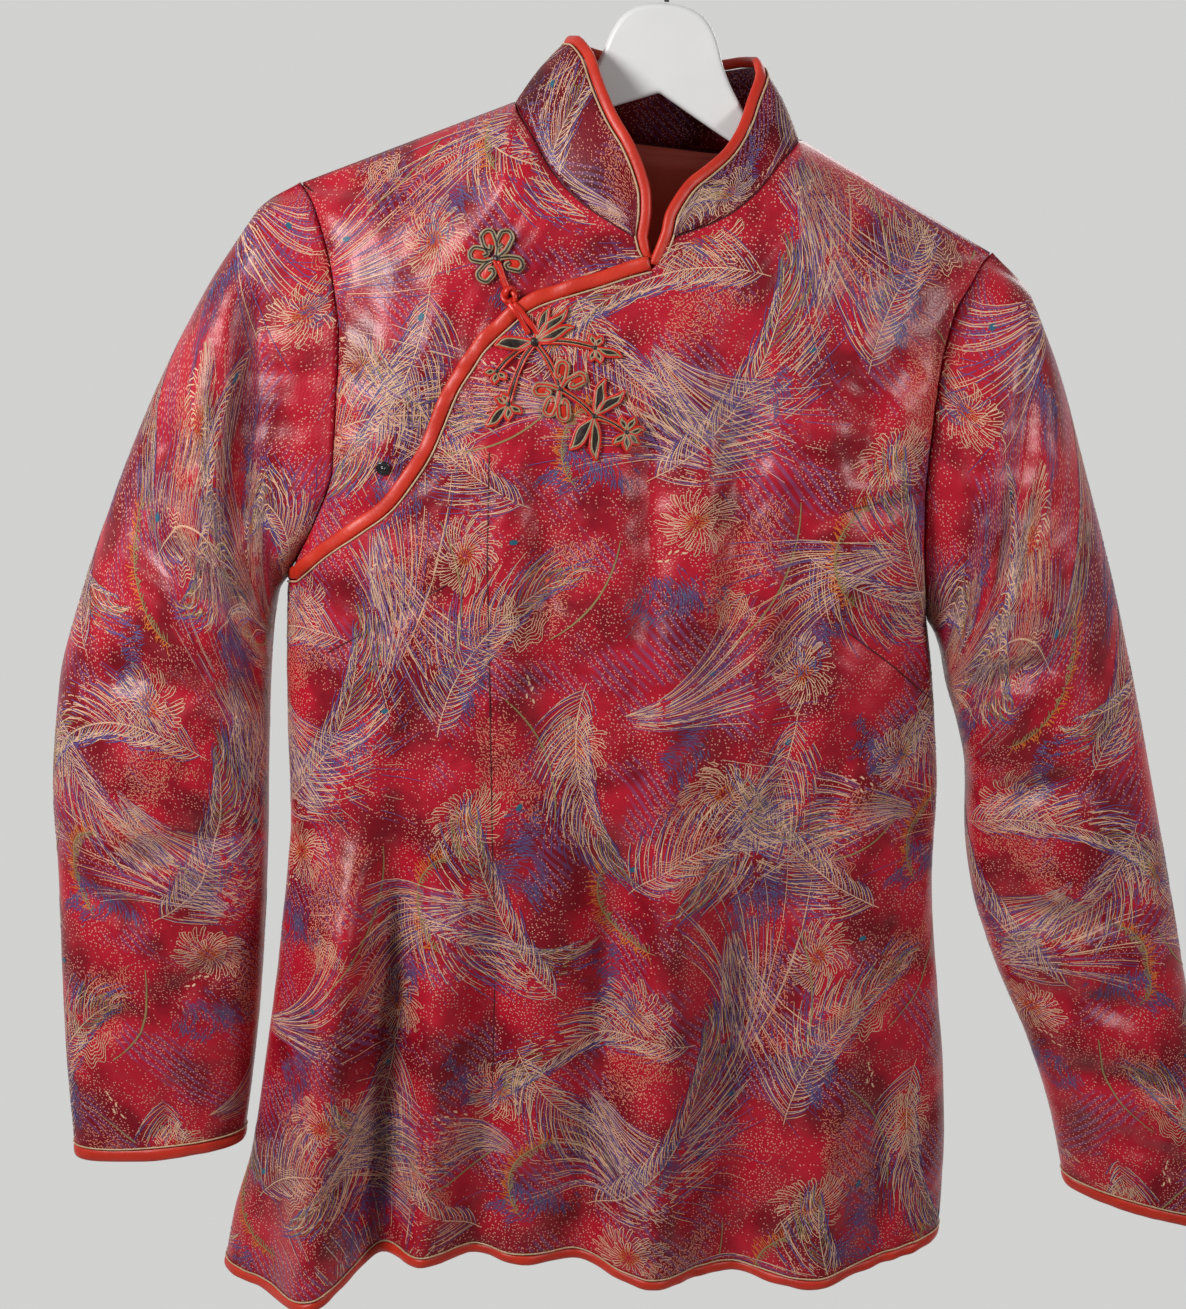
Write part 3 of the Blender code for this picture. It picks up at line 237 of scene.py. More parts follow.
RIGHT_SLEEVE = (
    (0.2250, -0.2230, 0.1925, -0.4290, 0.046, 0.038),
    (0.2440, -0.2600, 0.1975, -0.4410, 0.050, 0.041),
    (0.2690, -0.3230, 0.2030, -0.4600, 0.050, 0.042),
    (0.2930, -0.3860, 0.2120, -0.4830, 0.048, 0.041),
    (0.3160, -0.4540, 0.2200, -0.5110, 0.045, 0.039),
    (0.3360, -0.5180, 0.2240, -0.5480, 0.042, 0.037),
    (0.3530, -0.5740, 0.2330, -0.5870, 0.039, 0.034),
    (0.3710, -0.6350, 0.2520, -0.6320, 0.036, 0.032),
    (0.3900, -0.6950, 0.2790, -0.6830, 0.032, 0.029),
    (0.4060, -0.7450, 0.2990, -0.7300, 0.028, 0.026),
    (0.4180, -0.7890, 0.3110, -0.7690, 0.025, 0.022),
)
# Squareness of a sleeve's section
SLEEVE_SQUARE = 0.85
# Sleeve folds: side, top x, top height, bottom x, bottom height, half width, depth
SLEEVE_FOLDS = (
    (-1, -0.214, -0.245, -0.216, -0.430, 0.011, 0.0110),
    (-1, -0.262, -0.300, -0.300, -0.520, 0.018, 0.0050),
    (-1, -0.235, -0.560, -0.240, -0.720, 0.016, 0.0040),
    (-1, 0.232, -0.470, 0.262, -0.640, 0.015, 0.0060),
    (-1, 0.290, -0.400, 0.330, -0.640, 0.016, 0.0050),
    (1, -0.230, -0.280, -0.250, -0.480, 0.018, 0.0060),
    (1, 0.230, -0.290, 0.260, -0.500, 0.018, 0.0060),
)
# Collar edge seen at the left, then at the right: angle of the base point, edge x, edge y, edge height
COLLAR_LEFT = (
    (7.0, -0.0005, -0.0525, -0.2040),
    (11.0, 0.0005, -0.0520, -0.1920),
    (16.0, -0.0005, -0.0505, -0.1800),
    (22.0, -0.0050, -0.0485, -0.1670),
    (30.0, -0.0130, -0.0455, -0.1520),
    (40.0, -0.0225, -0.0400, -0.1390),
    (52.0, -0.0320, -0.0310, -0.1220),
    (66.0, -0.0405, -0.0170, -0.1040),
    (80.0, -0.0490, -0.0030, -0.0965),
    (95.0, -0.0535, 0.0100, -0.0965),
    (120.0, -0.0500, 0.0280, -0.0990),
    (150.0, -0.0300, 0.0420, -0.1040),
    (180.0, 0.0000, 0.0465, -0.1070),
)
COLLAR_RIGHT = (
    (11.0, 0.0075, -0.0560, -0.2000),
    (14.0, 0.0085, -0.0540, -0.1910),
    (18.0, 0.0115, -0.0510, -0.1830),
    (24.0, 0.0190, -0.0460, -0.1710),
    (33.0, 0.0290, -0.0380, -0.1620),
    (44.0, 0.0390, -0.0280, -0.1520),
    (57.0, 0.0465, -0.0170, -0.1380),
    (70.0, 0.0510, -0.0060, -0.1220),
    (84.0, 0.0555, 0.0040, -0.1070),
    (97.0, 0.0545, 0.0150, -0.1000),
    (120.0, 0.0490, 0.0290, -0.1000),
    (150.0, 0.0300, 0.0420, -0.1040),
    (180.0, 0.0000, 0.0465, -0.1070),
)
# Swell of the collar between its seams, and how its points crowd towards the front
COLLAR_SWELL = 0.0015
COLLAR_EASE = 1.25

# Frog outlines lie on the cloth: name, x, height, parent, heart radius, petals as (tip x, tip height, width)
FLOWER = (
    ("centre", -0.0835, -0.2224, None, 0.0021, (
        (-0.0912, -0.2080, 0.0062), (-0.0985, -0.2200, 0.0062), (-0.0915, -0.2345, 0.0062),
        (-0.0695, -0.2250, 0.0058), (-0.0785, -0.2070, 0.0062))),
)
SPRAY = (
    ("lily", -0.0588, -0.2660, None, 0.0026, (
        (-0.0515, -0.2455, 0.0038), (-0.0415, -0.2455, 0.0036), (-0.0365, -0.2560, 0.0036),
        (-0.0820, -0.2700, 0.0048))),
    ("small right", -0.0250, -0.2670, "lily", 0.0018, (
        (-0.0085, -0.2710, 0.0034), (-0.0210, -0.2590, 0.0024), (-0.0280, -0.2585, 0.0024),
        (-0.0270, -0.2750, 0.0024), (-0.0205, -0.2755, 0.0024))),
    ("bud", -0.0789, -0.2838, "lily", 0.0018, (
        (-0.0867, -0.2850, 0.0026), (-0.0800, -0.2920, 0.0026), (-0.0725, -0.2885, 0.0024))),
    ("small left", -0.0710, -0.3020, "lily", 0.0018, (
        (-0.0830, -0.3155, 0.0038), (-0.0800, -0.2990, 0.0026), (-0.0755, -0.2955, 0.0024),
        (-0.0700, -0.3120, 0.0026), (-0.0625, -0.3070, 0.0026))),
    ("curly", -0.0429, -0.2910, "lily", 0.0018, (
        (-0.0425, -0.2760, 0.0048), (-0.0295, -0.2830, 0.0046), (-0.0570, -0.2930, 0.0046),
        (-0.0490, -0.3055, 0.0046), (-0.0385, -0.3075, 0.0046))),
    ("low lily", -0.0226, -0.3048, "curly", 0.0018, (
        (-0.0176, -0.2825, 0.0042), (-0.0060, -0.2885, 0.0040), (-0.0350, -0.3250, 0.0046),
        (-0.0190, -0.3300, 0.0040))),
    ("small low", -0.0039, -0.3124, "low lily", 0.0018, (
        (-0.0075, -0.3025, 0.0024), (0.0005, -0.3022, 0.0024), (0.0068, -0.3100, 0.0024),
        (0.0043, -0.3195, 0.0024), (-0.0030, -0.3235, 0.0024), (-0.0110, -0.3200, 0.0024))),
)
# Gap between the cloth and the frog's cords
FROG_LIFT = 0.0007

# Places of the knot and the snap, and the gap under the snap
KNOT_AT = (-0.0755, -0.2425)
SNAP_AT = (-0.1403, -0.3449)
SNAP_LIFT = 0.0006

# Drop of the hanger's arms below the shoulder seam where they carry the jacket
HANGER_CLEAR = 0.0069
# Hanger head, from the top to where the arm begins: x, height
HANGER_HEAD = (
    (0.0000, -0.0750),
    (0.0130, -0.0765),
    (0.0230, -0.0815),
    (0.0300, -0.0920),
    (0.0350, -0.1080),
    (0.0430, -0.1230),
    (0.0560, -0.1400),
)
# Hanger arm, out along its top and back along its underside: x, drop below the shoulder line
HANGER_ARM = (
    (0.0780, 0.0090),
    (0.1000, HANGER_CLEAR),
    (0.1300, HANGER_CLEAR),
    (0.1500, 0.0100),
    (0.1640, 0.0160),
    (0.1680, 0.0215),
    (0.1620, 0.0260),
    (0.1300, 0.0240),
    (0.0700, 0.0250),
    (0.0360, 0.0235),
)
# Vee under the hanger's head: its point, and the share of its sides that is cut off there
HANGER_VEE = (0.0000, -0.1250)
VEE_SHARE = 0.10
HANGER_THICK = 0.0110
HANGER_BEVEL = 0.0030

# Hook wire: centre line x and height, from the head up and over
HOOK_WIRE = 0.0014
HOOK_RADIUS = 0.0210
HOOK_CENTRE = (0.0000, -0.0210)
HOOK_STEM = ((0.0000, -0.0746), (0.0000, -0.0580), (0.0040, -0.0500), (0.0120, -0.0430))
# Degrees where the bend starts and ends, its points, and the spacing along the whole wire
HOOK_ARC, HOOK_POINTS, HOOK_SPACING = (-40.0, 205.0), 60, 0.0015

# Back neck lining: thickness, gap to the wall, degrees to each side, their spread, width, depth, top margin
LINING_THICK = 0.0010
LINING_CLEAR = 0.0024
LINING_ACROSS = 22.0
LINING_SPREAD = 2.2
LINING_WIDE = 0.125
LINING_DEPTH = 0.075
LINING_MARGIN = 0.004

# Bindings: points around, squareness, extra swell, spacing along, and the puckers of their stitches
BINDING_AROUND = 16
BINDING_SQUARE = 0.75
BINDING_SWELL = 0.0003
BINDING_SPACING = 0.0022
PUCKER_DEPTH = 0.00010
PUCKER_LENGTH, PUCKER_DRIFT = 0.0210, 0.031
LINE_RADIUS = 0.00055
CORD_AROUND = 6

# Points along a panel's edge, a shoulder and a neckline half
EDGE_POINTS = 60
SEAM_POINTS = 30
# Places along the opening in x; the front's edge has as many points between each two
OPENING_STOPS = (-0.1965, -0.1720, -0.1380, -0.1090, -0.0830, -0.0450, 0.0060)
# Front: drop of its corner at the armhole, first neck angle, and the way that its slanted edge faces
FRONT_CORNER_DROP, FRONT_NECK_START = 0.002, 8.0
SLANT_OUTWARD, HEM_OUTWARD = (-0.5, 0.0, 1.0), (0.0, 0.0, -1.0)
# Points of the slanted edge that its piping leaves free at the armhole
SLANT_SKIP = 3
# Underlap: where its lower edge starts and ends, the height of its corner, and its last neck angle
UNDERLAP_ENDS, UNDERLAP_CORNER, UNDERLAP_NECK_END = (-0.1900, 0.0040), -0.4100, 3.0
# Widths and heights that set how many cells a panel or sleeve has
FRONT_SIZE = (0.470, 0.640)
UNDERLAP_SIZE = (0.300, 0.210)
BACK_SIZE = (0.450, 0.680)
SLEEVE_SIZE = (0.50, 0.60)
# Metres of cloth that a degree of turn stands for along an edge
DEGREE_LENGTH = 0.0022
# Flat cloth sizes of the body: lowest and highest point, left and right limit
CHART_LOW, CHART_HIGH = -0.900, -0.120
CHART_LEFT, CHART_RIGHT = -0.26, 0.28
# Rows and columns that measure the body's flat sizes
CHART_ROWS = 261
CHART_COLUMNS = 181
# Where the slanted opening ends at the neck, in x
OPENING_END = 0.0060
# Rows of a sleeve's head, points along half of the collar, and points up the collar
HEAD_ROWS = 13
COLLAR_POINTS = 42
COLLAR_HIGH = 16
# Height on the brocade where the collar's foot lies, and the collar's flat height
COLLAR_START = -0.285
COLLAR_FLAT = 0.05
# Height on the brocade where the sleeve heads lie
SLEEVE_START = -0.2
SLEEVE_LINES_TOP = -0.18
# Where the collar's piping runs on to at its two ends, its bow there, and the radius of the neck seam's dark
# cord of painted shade
COLLAR_RUN = ((-0.0022, -0.0530, -0.2150), (0.0080, -0.0562, -0.2190))
COLLAR_RUN_STEPS = 6
COLLAR_RUN_BOW = 0.006
NECK_SEAM = 0.0015
# Share of the wall by which the neck seam's dark cord, painted shade in the gap, lies in
NECK_SEAM_DEEP = 0.55

# Mesh cells on the cloth, and how many cells one cell of the plain inner face spans
CELL = 0.0028
INNER_STEP = 3
ROW_EASE = 1.12

# Creases on the body: side (-1 front, 1 back), start x and height, end x and height, half width, depth.
# A positive depth is a trough, a negative one a ridge.
CREASES = (
    (-1, -0.080, -0.345, -0.077, -0.391, 0.0055, 0.0005),
    (-1, -0.077, -0.391, -0.070, -0.473, 0.0055, 0.0005),
    (-1, -0.070, -0.473, -0.057, -0.644, 0.0055, 0.0005),
    (-1, -0.057, -0.644, -0.053, -0.734, 0.0055, 0.0004),
    (-1, -0.103, -0.410, -0.133, -0.433, 0.0055, 0.0006),
    (-1, -0.133, -0.433, -0.168, -0.459, 0.0055, 0.0006),
    (-1, 0.123, -0.349, 0.169, -0.336, 0.0055, 0.0007),
    (-1, 0.136, -0.421, 0.192, -0.465, 0.0055, 0.0006),
    (-1, 0.010, -0.300, 0.022, -0.440, 0.0110, 0.0030),
    (-1, -0.052, -0.330, -0.040, -0.420, 0.0090, 0.0022),
    (-1, 0.100, -0.330, 0.104, -0.560, 0.0130, 0.0032),
    (-1, 0.045, -0.300, 0.054, -0.420, 0.0100, -0.0018),
    (-1, 0.150, -0.260, 0.130, -0.330, 0.0120, 0.0026),
    (-1, 0.120, -0.240, 0.156, -0.300, 0.0100, -0.0018),
    (-1, -0.018, -0.440, -0.006, -0.600, 0.0120, 0.0022),
    (-1, 0.030, -0.470, 0.046, -0.640, 0.0120, -0.0020),
    (-1, 0.140, -0.480, 0.120, -0.600, 0.0120, 0.0024),
    (-1, -0.110, -0.470, -0.125, -0.560, 0.0110, 0.0024),
    (-1, -0.140, -0.480, -0.180, -0.540, 0.0100, 0.0020),
    (-1, -0.150, -0.560, -0.188, -0.590, 0.0080, 0.0018),
    (-1, -0.160, -0.620, -0.190, -0.650, 0.0070, -0.0014),
    (-1, 0.160, -0.520, 0.200, -0.560, 0.0090, 0.0022),
    (-1, 0.170, -0.600, 0.214, -0.640, 0.0080, 0.0018),
    (-1, 0.180, -0.660, 0.222, -0.700, 0.0080, -0.0014),
    (-1, -0.100, -0.700, -0.104, -0.850, 0.0070, 0.0016),
    (-1, 0.028, -0.700, 0.030, -0.850, 0.0080, -0.0014),
    (-1, 0.070, -0.680, 0.080, -0.850, 0.0080, 0.0014),
    (-1, 0.185, -0.700, 0.195, -0.830, 0.0080, 0.0016),
    (1, -0.080, -0.240, -0.110, -0.360, 0.0120, 0.0024),
    (1, 0.080, -0.240, 0.110, -0.360, 0.0120, 0.0024),
    (1, 0.000, -0.200, 0.002, -0.480, 0.0130, 0.0020),
    (1, -0.045, -0.260, -0.040, -0.480, 0.0120, -0.0016),
    (1, 0.050, -0.300, 0.044, -0.520, 0.0120, 0.0018),
    (1, -0.130, -0.430, -0.185, -0.470, 0.0090, 0.0020),
    (1, 0.130, -0.430, 0.180, -0.470, 0.0090, 0.0020),
    (1, -0.150, -0.520, -0.190, -0.560, 0.0090, 0.0020),
    (1, 0.150, -0.520, 0.196, -0.560, 0.0090, 0.0020),
    (1, -0.150, -0.600, -0.190, -0.640, 0.0080, -0.0014),
    (1, 0.160, -0.620, 0.214, -0.660, 0.0080, -0.0014),
    (1, -0.090, -0.620, -0.100, -0.840, 0.0090, 0.0020),
    (1, 0.045, -0.620, 0.048, -0.840, 0.0090, -0.0016),
    (1, 0.120, -0.640, 0.128, -0.830, 0.0090, 0.0020),
)
# Creases on the sleeves, in the same columns; the side is the face that they lie on
SLEEVE_CREASES = (
    (-1, -0.222, -0.240, -0.226, -0.400, 0.0080, 0.0030),
    (-1, -0.246, -0.240, -0.252, -0.340, 0.0110, -0.0026),
    (-1, -0.262, -0.330, -0.318, -0.420, 0.0100, 0.0024),
    (-1, -0.215, -0.440, -0.270, -0.400, 0.0090, 0.0026),
    (-1, -0.215, -0.500, -0.300, -0.480, 0.0100, 0.0024),
    (-1, -0.220, -0.580, -0.290, -0.600, 0.0110, 0.0022),
    (-1, -0.270, -0.640, -0.326, -0.620, 0.0100, 0.0020),
    (-1, -0.212, -0.660, -0.260, -0.690, 0.0090, 0.0018),
    (-1, -0.280, -0.700, -0.320, -0.730, 0.0090, 0.0018),
    (-1, -0.250, -0.740, -0.262, -0.790, 0.0070, 0.0014),
    (-1, 0.226, -0.245, 0.222, -0.390, 0.0080, 0.0026),
    (-1, 0.238, -0.250, 0.246, -0.330, 0.0100, -0.0022),
    (-1, 0.205, -0.450, 0.262, -0.430, 0.0090, 0.0026),
    (-1, 0.225, -0.520, 0.290, -0.500, 0.0100, 0.0024),
    (-1, 0.240, -0.590, 0.320, -0.590, 0.0110, 0.0024),
    (-1, 0.262, -0.640, 0.350, -0.650, 0.0100, 0.0020),
    (-1, 0.300, -0.690, 0.380, -0.700, 0.0090, 0.0020),
    (-1, 0.330, -0.730, 0.400, -0.760, 0.0080, 0.0016),
    (1, -0.230, -0.300, -0.290, -0.400, 0.0120, 0.0026),
    (1, -0.215, -0.480, -0.300, -0.520, 0.0110, 0.0024),
    (1, -0.220, -0.620, -0.310, -0.600, 0.0110, 0.0022),
    (1, -0.220, -0.700, -0.310, -0.720, 0.0100, 0.0018),
    (1, 0.230, -0.300, 0.290, -0.420, 0.0120, 0.0026),
    (1, 0.225, -0.500, 0.310, -0.520, 0.0110, 0.0024),
    (1, 0.250, -0.620, 0.350, -0.620, 0.0110, 0.0022),
    (1, 0.300, -0.700, 0.390, -0.720, 0.0100, 0.0018),
)
CREASE_FADE = 0.30
# Seams and darts of the front in x and height
SEAMS = (
    ((-0.080, -0.330), (-0.077, -0.391), (-0.070, -0.473), (-0.057, -0.644), (-0.053, -0.734)),
    ((-0.100, -0.408), (-0.133, -0.433), (-0.168, -0.459)),
    ((0.121, -0.349), (0.169, -0.336)),
    ((0.134, -0.420), (0.165, -0.442), (0.192, -0.465)),
)
# Radius, lift and point spacing of the dark lines of painted shade along the seams and darts
SEAM_RADIUS, SEAM_LIFT, SEAM_SPACING = 0.00045, 0.00010, 0.0030
# How much deeper than the table the creases are pressed
CREASE_DEPTH = 2.7
# Share of their depth by which the large folds are pressed further than in the solid
FOLD_EXTRA = 1.9
# Gentle unevenness of the wadding: wave length and height
WADDING = ((0.052, 0.0010), (0.023, 0.0005))
# Distance from an edge over which creases and swells die down
EDGE_CALM = 0.012

# Camera place, downward tilt, roll and lens for a 24 mm high sensor
CAMERA_AT = (-0.0126, -1.3500, -0.1400)
CAMERA_TILT = 13.24
CAMERA_ROLL = 4.5
CAMERA_LENS = 41.93
SENSOR = 24.0

# Frog cords: points around a cord and along a petal, cord and thread radius, strand of a looped petal
FROG_AROUND = 8
PETAL_POINTS = 22
FROG_CORD = 0.00074
FROG_THREAD = 0.00050
LOOP_STRAND = 0.00070
# Path of an open looped petal: share of its length and share of its width
LOOP_OUT = (0.04, 0.45, 0.85, 1.02, 0.90, 0.55, 0.38, 0.52)
LOOP_SIDE = (0.05, 0.42, 0.50, 0.08, -0.40, -0.46, -0.20, 0.02)
# Share of a loop's path that its filling keeps within, and the domes of the fillings
LOOP_INNER, LOOP_DOME, PETAL_DOME = 0.96, 0.0006, 0.0005
# Lift of a stem, and its strands: offset, radius, finish
STEM_LIFT = 0.0006
STEM_STRANDS = (
    (-0.00125, 0.00055, "cord red"),
    (-0.00068, 0.00024, "cream line"),
    (0.0, 0.00050, "cord black"),
    (0.00068, 0.00024, "cream line"),
    (0.00125, 0.00055, "cord red"),
)
# Points of a stem, a loop's path, a filling's width, a heart and the snap
STEM_POINTS, LOOP_POINTS, FILL_POINTS, HEART_AROUND, SNAP_AROUND = 16, 44, 7, 18, 32
# Heart of a flower: its lift, then the share of its radius and the rise of each ring
HEART_LIFT = 0.0004
HEART_PROFILE = ((1.0, 0.0), (0.92, 0.6), (0.6, 0.95), (0.15, 1.05))
# Finishes of a petal or loop: outer cord, thin line, filling
FLOWER_STYLE = ("cord olive", "cord black", "cord red")
CURLY_STYLE = ("cord olive", "cord red", "cord red")
LILY_STYLE = ("cord red", "cord olive", "cord black")
# Petal: where it starts from its flower's centre, its sway and its least width
PETAL_START, PETAL_SWAY, PETAL_LEAST = 0.0012, 0.05, 0.0052
# How much wider than its table a flower's loop, a curly loop and a petal are drawn
FLOWER_WIDE, CURLY_WIDE, PETAL_WIDE = 1.30, 1.45, 1.70
STEM_BOW = 0.06
# Strap over the piping: points along and around, half width, half thickness, seat, rise of its arch
STRAP_POINTS, STRAP_AROUND = 20, 10
STRAP_HALF, STRAP_THICK, STRAP_SEAT = 0.0015, 0.0006, 0.0010
# Half the spread of the strap's two strips, and their sideways bow
STRAP_SPREAD, STRAP_BOW = 0.0026, (0.0006, 0.0004)
LOOP_RISE = 0.0022
# Strands that carry the knot: half spread, radius and lift
CARRY_SPREAD, CARRY_RADIUS, CARRY_LIFT = 0.0011, 0.0011, 0.0012
# Wound knot: height of its centre, radius, cord radius, winds, points along and around
KNOT_HEIGHT = 0.0040
KNOT_BALL = 0.0030
KNOT_CORD = 0.00145
KNOT_WINDS = (2, 3)
KNOT_POINTS, KNOT_AROUND = 132, 8
# Snap: radius and rise of each ring, from its seat to the top of its nub
SNAP_PROFILE = (
    (0.0042, 0.0000), (0.0043, 0.0008), (0.0038, 0.0013), (0.0030, 0.0010), (0.0018, 0.0010),
    (0.0014, 0.0014), (0.0012, 0.0020), (0.0004, 0.0023),
)

# Brocade lines: lift above the cloth, thread width, and the repeat's width and height; every other column
# of repeats drops by half a height
LINE_LIFT = 0.00028
THREAD = 0.00050
REPEAT_WIDE, REPEAT_HIGH = 0.230, 0.460
EDGE_MARGIN = 0.0014
# Right of the first the front has no slanted edge, and the underlap's lines end at the second
FRONT_RIGHT, UNDERLAP_RIGHT = 0.006, 0.002
# Room that the lines keep from the neckline's piping
NECK_MARGIN = 0.0035
# Thread colours
THREADS = {
    "cream": (0.74, 0.45, 0.29),
    "salmon": (0.72, 0.23, 0.15),
    "olive": (0.30, 0.21, 0.09),
    "blue": (0.115, 0.078, 0.235),
    "slate": (0.105, 0.115, 0.235),
    "orange": (0.60, 0.15, 0.03),
    "teal": (0.03, 0.12, 0.18),
    "mauve": (0.30, 0.11, 0.24),
}
# One repeat of the brocade: motif, then for each its place across, place up, turn in degrees and size
LAYOUT = (
    ("mist", (
        (0.032, 0.050, 20, 0.034), (0.120, 0.030, 60, 0.028), (0.190, 0.120, 100, 0.036),
        (0.075, 0.170, 35, 0.032), (0.150, 0.235, 80, 0.034), (0.020, 0.270, 120, 0.030),
        (0.105, 0.330, 50, 0.034), (0.205, 0.350, 10, 0.032), (0.050, 0.425, 75, 0.030),
        (0.165, 0.430, 140, 0.028),
    )),
    ("rice", (
        (0.070, 0.075, 70, 0.046), (0.175, 0.175, 115, 0.040), (0.035, 0.215, 40, 0.036),
        (0.115, 0.270, 95, 0.046), (0.200, 0.290, 60, 0.036), (0.060, 0.370, 130, 0.040),
        (0.150, 0.385, 30, 0.036),
    )),
    ("plume", (
        (0.010, 0.120, 62, 0.150), (0.215, 0.030, 118, 0.130), (0.105, 0.085, 350, 0.120),
        (0.070, 0.240, 200, 0.125), (0.130, 0.190, 55, 0.130), (0.215, 0.230, 285, 0.120),
        (0.020, 0.330, 20, 0.135), (0.175, 0.330, 140, 0.120), (0.110, 0.450, 245, 0.130),
        (0.190, 0.455, 320, 0.110),
    )),
    ("fan", (
        (0.060, 0.130, 160, 0.120), (0.165, 0.090, 205, 0.110), (0.100, 0.225, 100, 0.125),
        (0.005, 0.195, 330, 0.110), (0.195, 0.390, 185, 0.120), (0.085, 0.310, 300, 0.115),
        (0.010, 0.440, 30, 0.110),
    )),
    ("burst", (
        (0.040, 0.100, 10, 0.0240), (0.150, 0.140, 50, 0.0270), (0.212, 0.190, 80, 0.0230),
        (0.030, 0.255, 30, 0.0260), (0.140, 0.300, 65, 0.0240), (0.070, 0.400, 20, 0.0270),
        (0.180, 0.425, 45, 0.0230), (0.110, 0.015, 75, 0.0240),
    )),
    ("sprig", (
        (0.140, 0.055, 60, 0.080), (0.040, 0.300, 100, 0.075), (0.200, 0.345, 45, 0.070),
    )),
    ("petal", (
        (0.085, 0.035, 20, 0.0160), (0.101, 0.053, 75, 0.0135), (0.068, 0.046, 110, 0.0125),
        (0.010, 0.165, 140, 0.0155), (0.022, 0.182, 200, 0.0130), (0.160, 0.255, 200, 0.0150),
        (0.177, 0.266, 260, 0.0155), (0.157, 0.275, 320, 0.0125), (0.045, 0.348, 30, 0.0150),
        (0.125, 0.365, 320, 0.0155), (0.140, 0.352, 20, 0.0125),
    )),
    ("lozenge", (
        (0.055, 0.010, 20, 0.0045), (0.180, 0.150, 60, 0.0050), (0.095, 0.200, 35, 0.0045),
        (0.020, 0.345, 50, 0.0050), (0.165, 0.310, 10, 0.0045), (0.105, 0.430, 70, 0.0045),
    )),
    ("seeds", (
        (0.020, 0.075, 30, 0.0150), (0.185, 0.215, 100, 0.0150), (0.085, 0.280, 60, 0.0150),
        (0.160, 0.405, 150, 0.0150),
    )),
)
BROCADE_SEED = 7
# Distance between a plume's barbs, and between the strokes of rice and mist patches
PLUME_PITCH = 0.0025
RICE_PITCH = 0.0018
MIST_PITCH = 0.0014
# Barbs of a plume: colour, share of the pitch, reach, thread width
PLUME_BARBS = (("blue", 1.5, 1.20, 1.0), ("cream", 1.0, 1.0, 0.90))
# Strands of a fan: colour, count, thread width, reach
FAN_STRANDS = (("blue", 13, 0.85, 1.10), ("mauve", 9, 0.9, 0.85), ("cream", 22, 0.85, 1.0))
SPRIG_BRISTLES = 54
# Chart of a cloth: cells across, then the body's rows, columns and widest turn
CHART_ACROSS = 240
BODY_ROWS, BODY_COLUMNS, BODY_TURN = 300, 260, 89.7
# Room round a chart within which a stroke is still tried
CHART_ROOM = 0.02
# Ground of the brocade
GROUND_DARK = (0.20, 0.002, 0.010)
GROUND_LIGHT = (0.46, 0.007, 0.024)
# Ground of the collar: the brocade's ground made darker, painted shade for the shade that the collar lies in
COLLAR_SHADE_DARK = (0.07, 0.001, 0.004)
COLLAR_SHADE_LIGHT = (0.17, 0.002, 0.010)
HATCH_COLOUR = (0.150, 0.070, 0.190)
HATCH_LINES = 95.0
DOT_COLOUR = (0.72, 0.30, 0.22)
DOTS_PER_METRE = 500.0
DOT_SIZE = 0.22
# Where dots are thick and where hatching shows: stops over a noise texture
DOT_PATCHES = ((0.36, (0.25, 0.25, 0.25)), (0.66, (0.90, 0.90, 0.90)))
HATCH_PATCHES = ((0.52, (0, 0, 0)), (0.60, (0.55, 0.55, 0.55)))
# Looped petal outline: share of its length and share of its half width
HAIRPIN_OUT = (0.0, 0.55, 0.92, 1.0, 0.80, 0.30)
HAIRPIN_SIDE = (-0.4, -0.9, -0.7, 0.3, 0.9, 0.6)
# Rings of a burst: inner radius and length as shares of its size, stroke count, colour
BURST_RINGS = ((0.06, 0.24, 11, "orange"), (0.20, 0.40, 21, "cream"), (0.50, 0.50, 31, "cream"))

# Satins: key, name, dark and light colour, roughness, scale of their variation
SATINS = (
    ("binding", "piping satin", (0.50, 0.020, 0.008), (0.62, 0.034, 0.012), 0.44, 60.0),
    # The inside satin is the lining's own coral red made much lighter: painted light where it shows in the
    # shade of the neck
    ("inside", "lining satin with painted light", (0.80, 0.110, 0.065), (0.90, 0.150, 0.090), 0.45, 40.0),
    ("cream line", "cream thread", (0.46, 0.30, 0.17), (0.62, 0.43, 0.27), 0.50, 300.0),
    ("cord black", "black cord", (0.012, 0.008, 0.008), (0.035, 0.020, 0.018), 0.40, 400.0),
    ("cord red", "red satin cord", (0.50, 0.016, 0.008), (0.66, 0.028, 0.012), 0.33, 200.0),
    ("cord olive", "olive cord", (0.24, 0.17, 0.09), (0.40, 0.31, 0.18), 0.45, 300.0),
    # The seam shade is painted shade: dark lines along the front's seams and a dark cord in the neck seam's
    # gap
    ("seam", "seam shade", (0.060, 0.002, 0.006), (0.110, 0.004, 0.010), 0.60, 200.0),
)
# Colour stops of the steel and of the hanger, the floor's colour, and the strength of fine relief
STEEL_STOPS = ((0.0, (0.06, 0.06, 0.065)), (1.0, (0.16, 0.16, 0.17)))
WHITE_STOPS = ((0.0, (0.70, 0.70, 0.69)), (1.0, (0.80, 0.80, 0.79)))
FLOOR_COLOUR = (0.62, 0.62, 0.60)
BUMP = 0.45

# Floor, surroundings and lights: name, place, target, size, power
FLOOR_RADIUS, FLOOR_LOW, FLOOR_SIDES = 0.85, -1.45, 96
ROOM_COLOUR = (0.64, 0.64, 0.63)
# Strength of the room's light from in front and from behind the jacket
ROOM_FRONT, ROOM_BEHIND = 0.20, 1.0
ROOM_BLEND = (-0.3, 0.7)
LIGHTS = (
    ("key", (-0.98, -0.84, 0.08), (0.05, 0.0, -0.36), 0.42, 17.0),
    ("side", (0.95, -0.80, 0.05), (0.10, 0.0, -0.38), 0.30, 6.0),
    ("back", (0.60, 1.50, 0.40), (0.0, 0.0, -0.45), 1.00, 7.0),
)


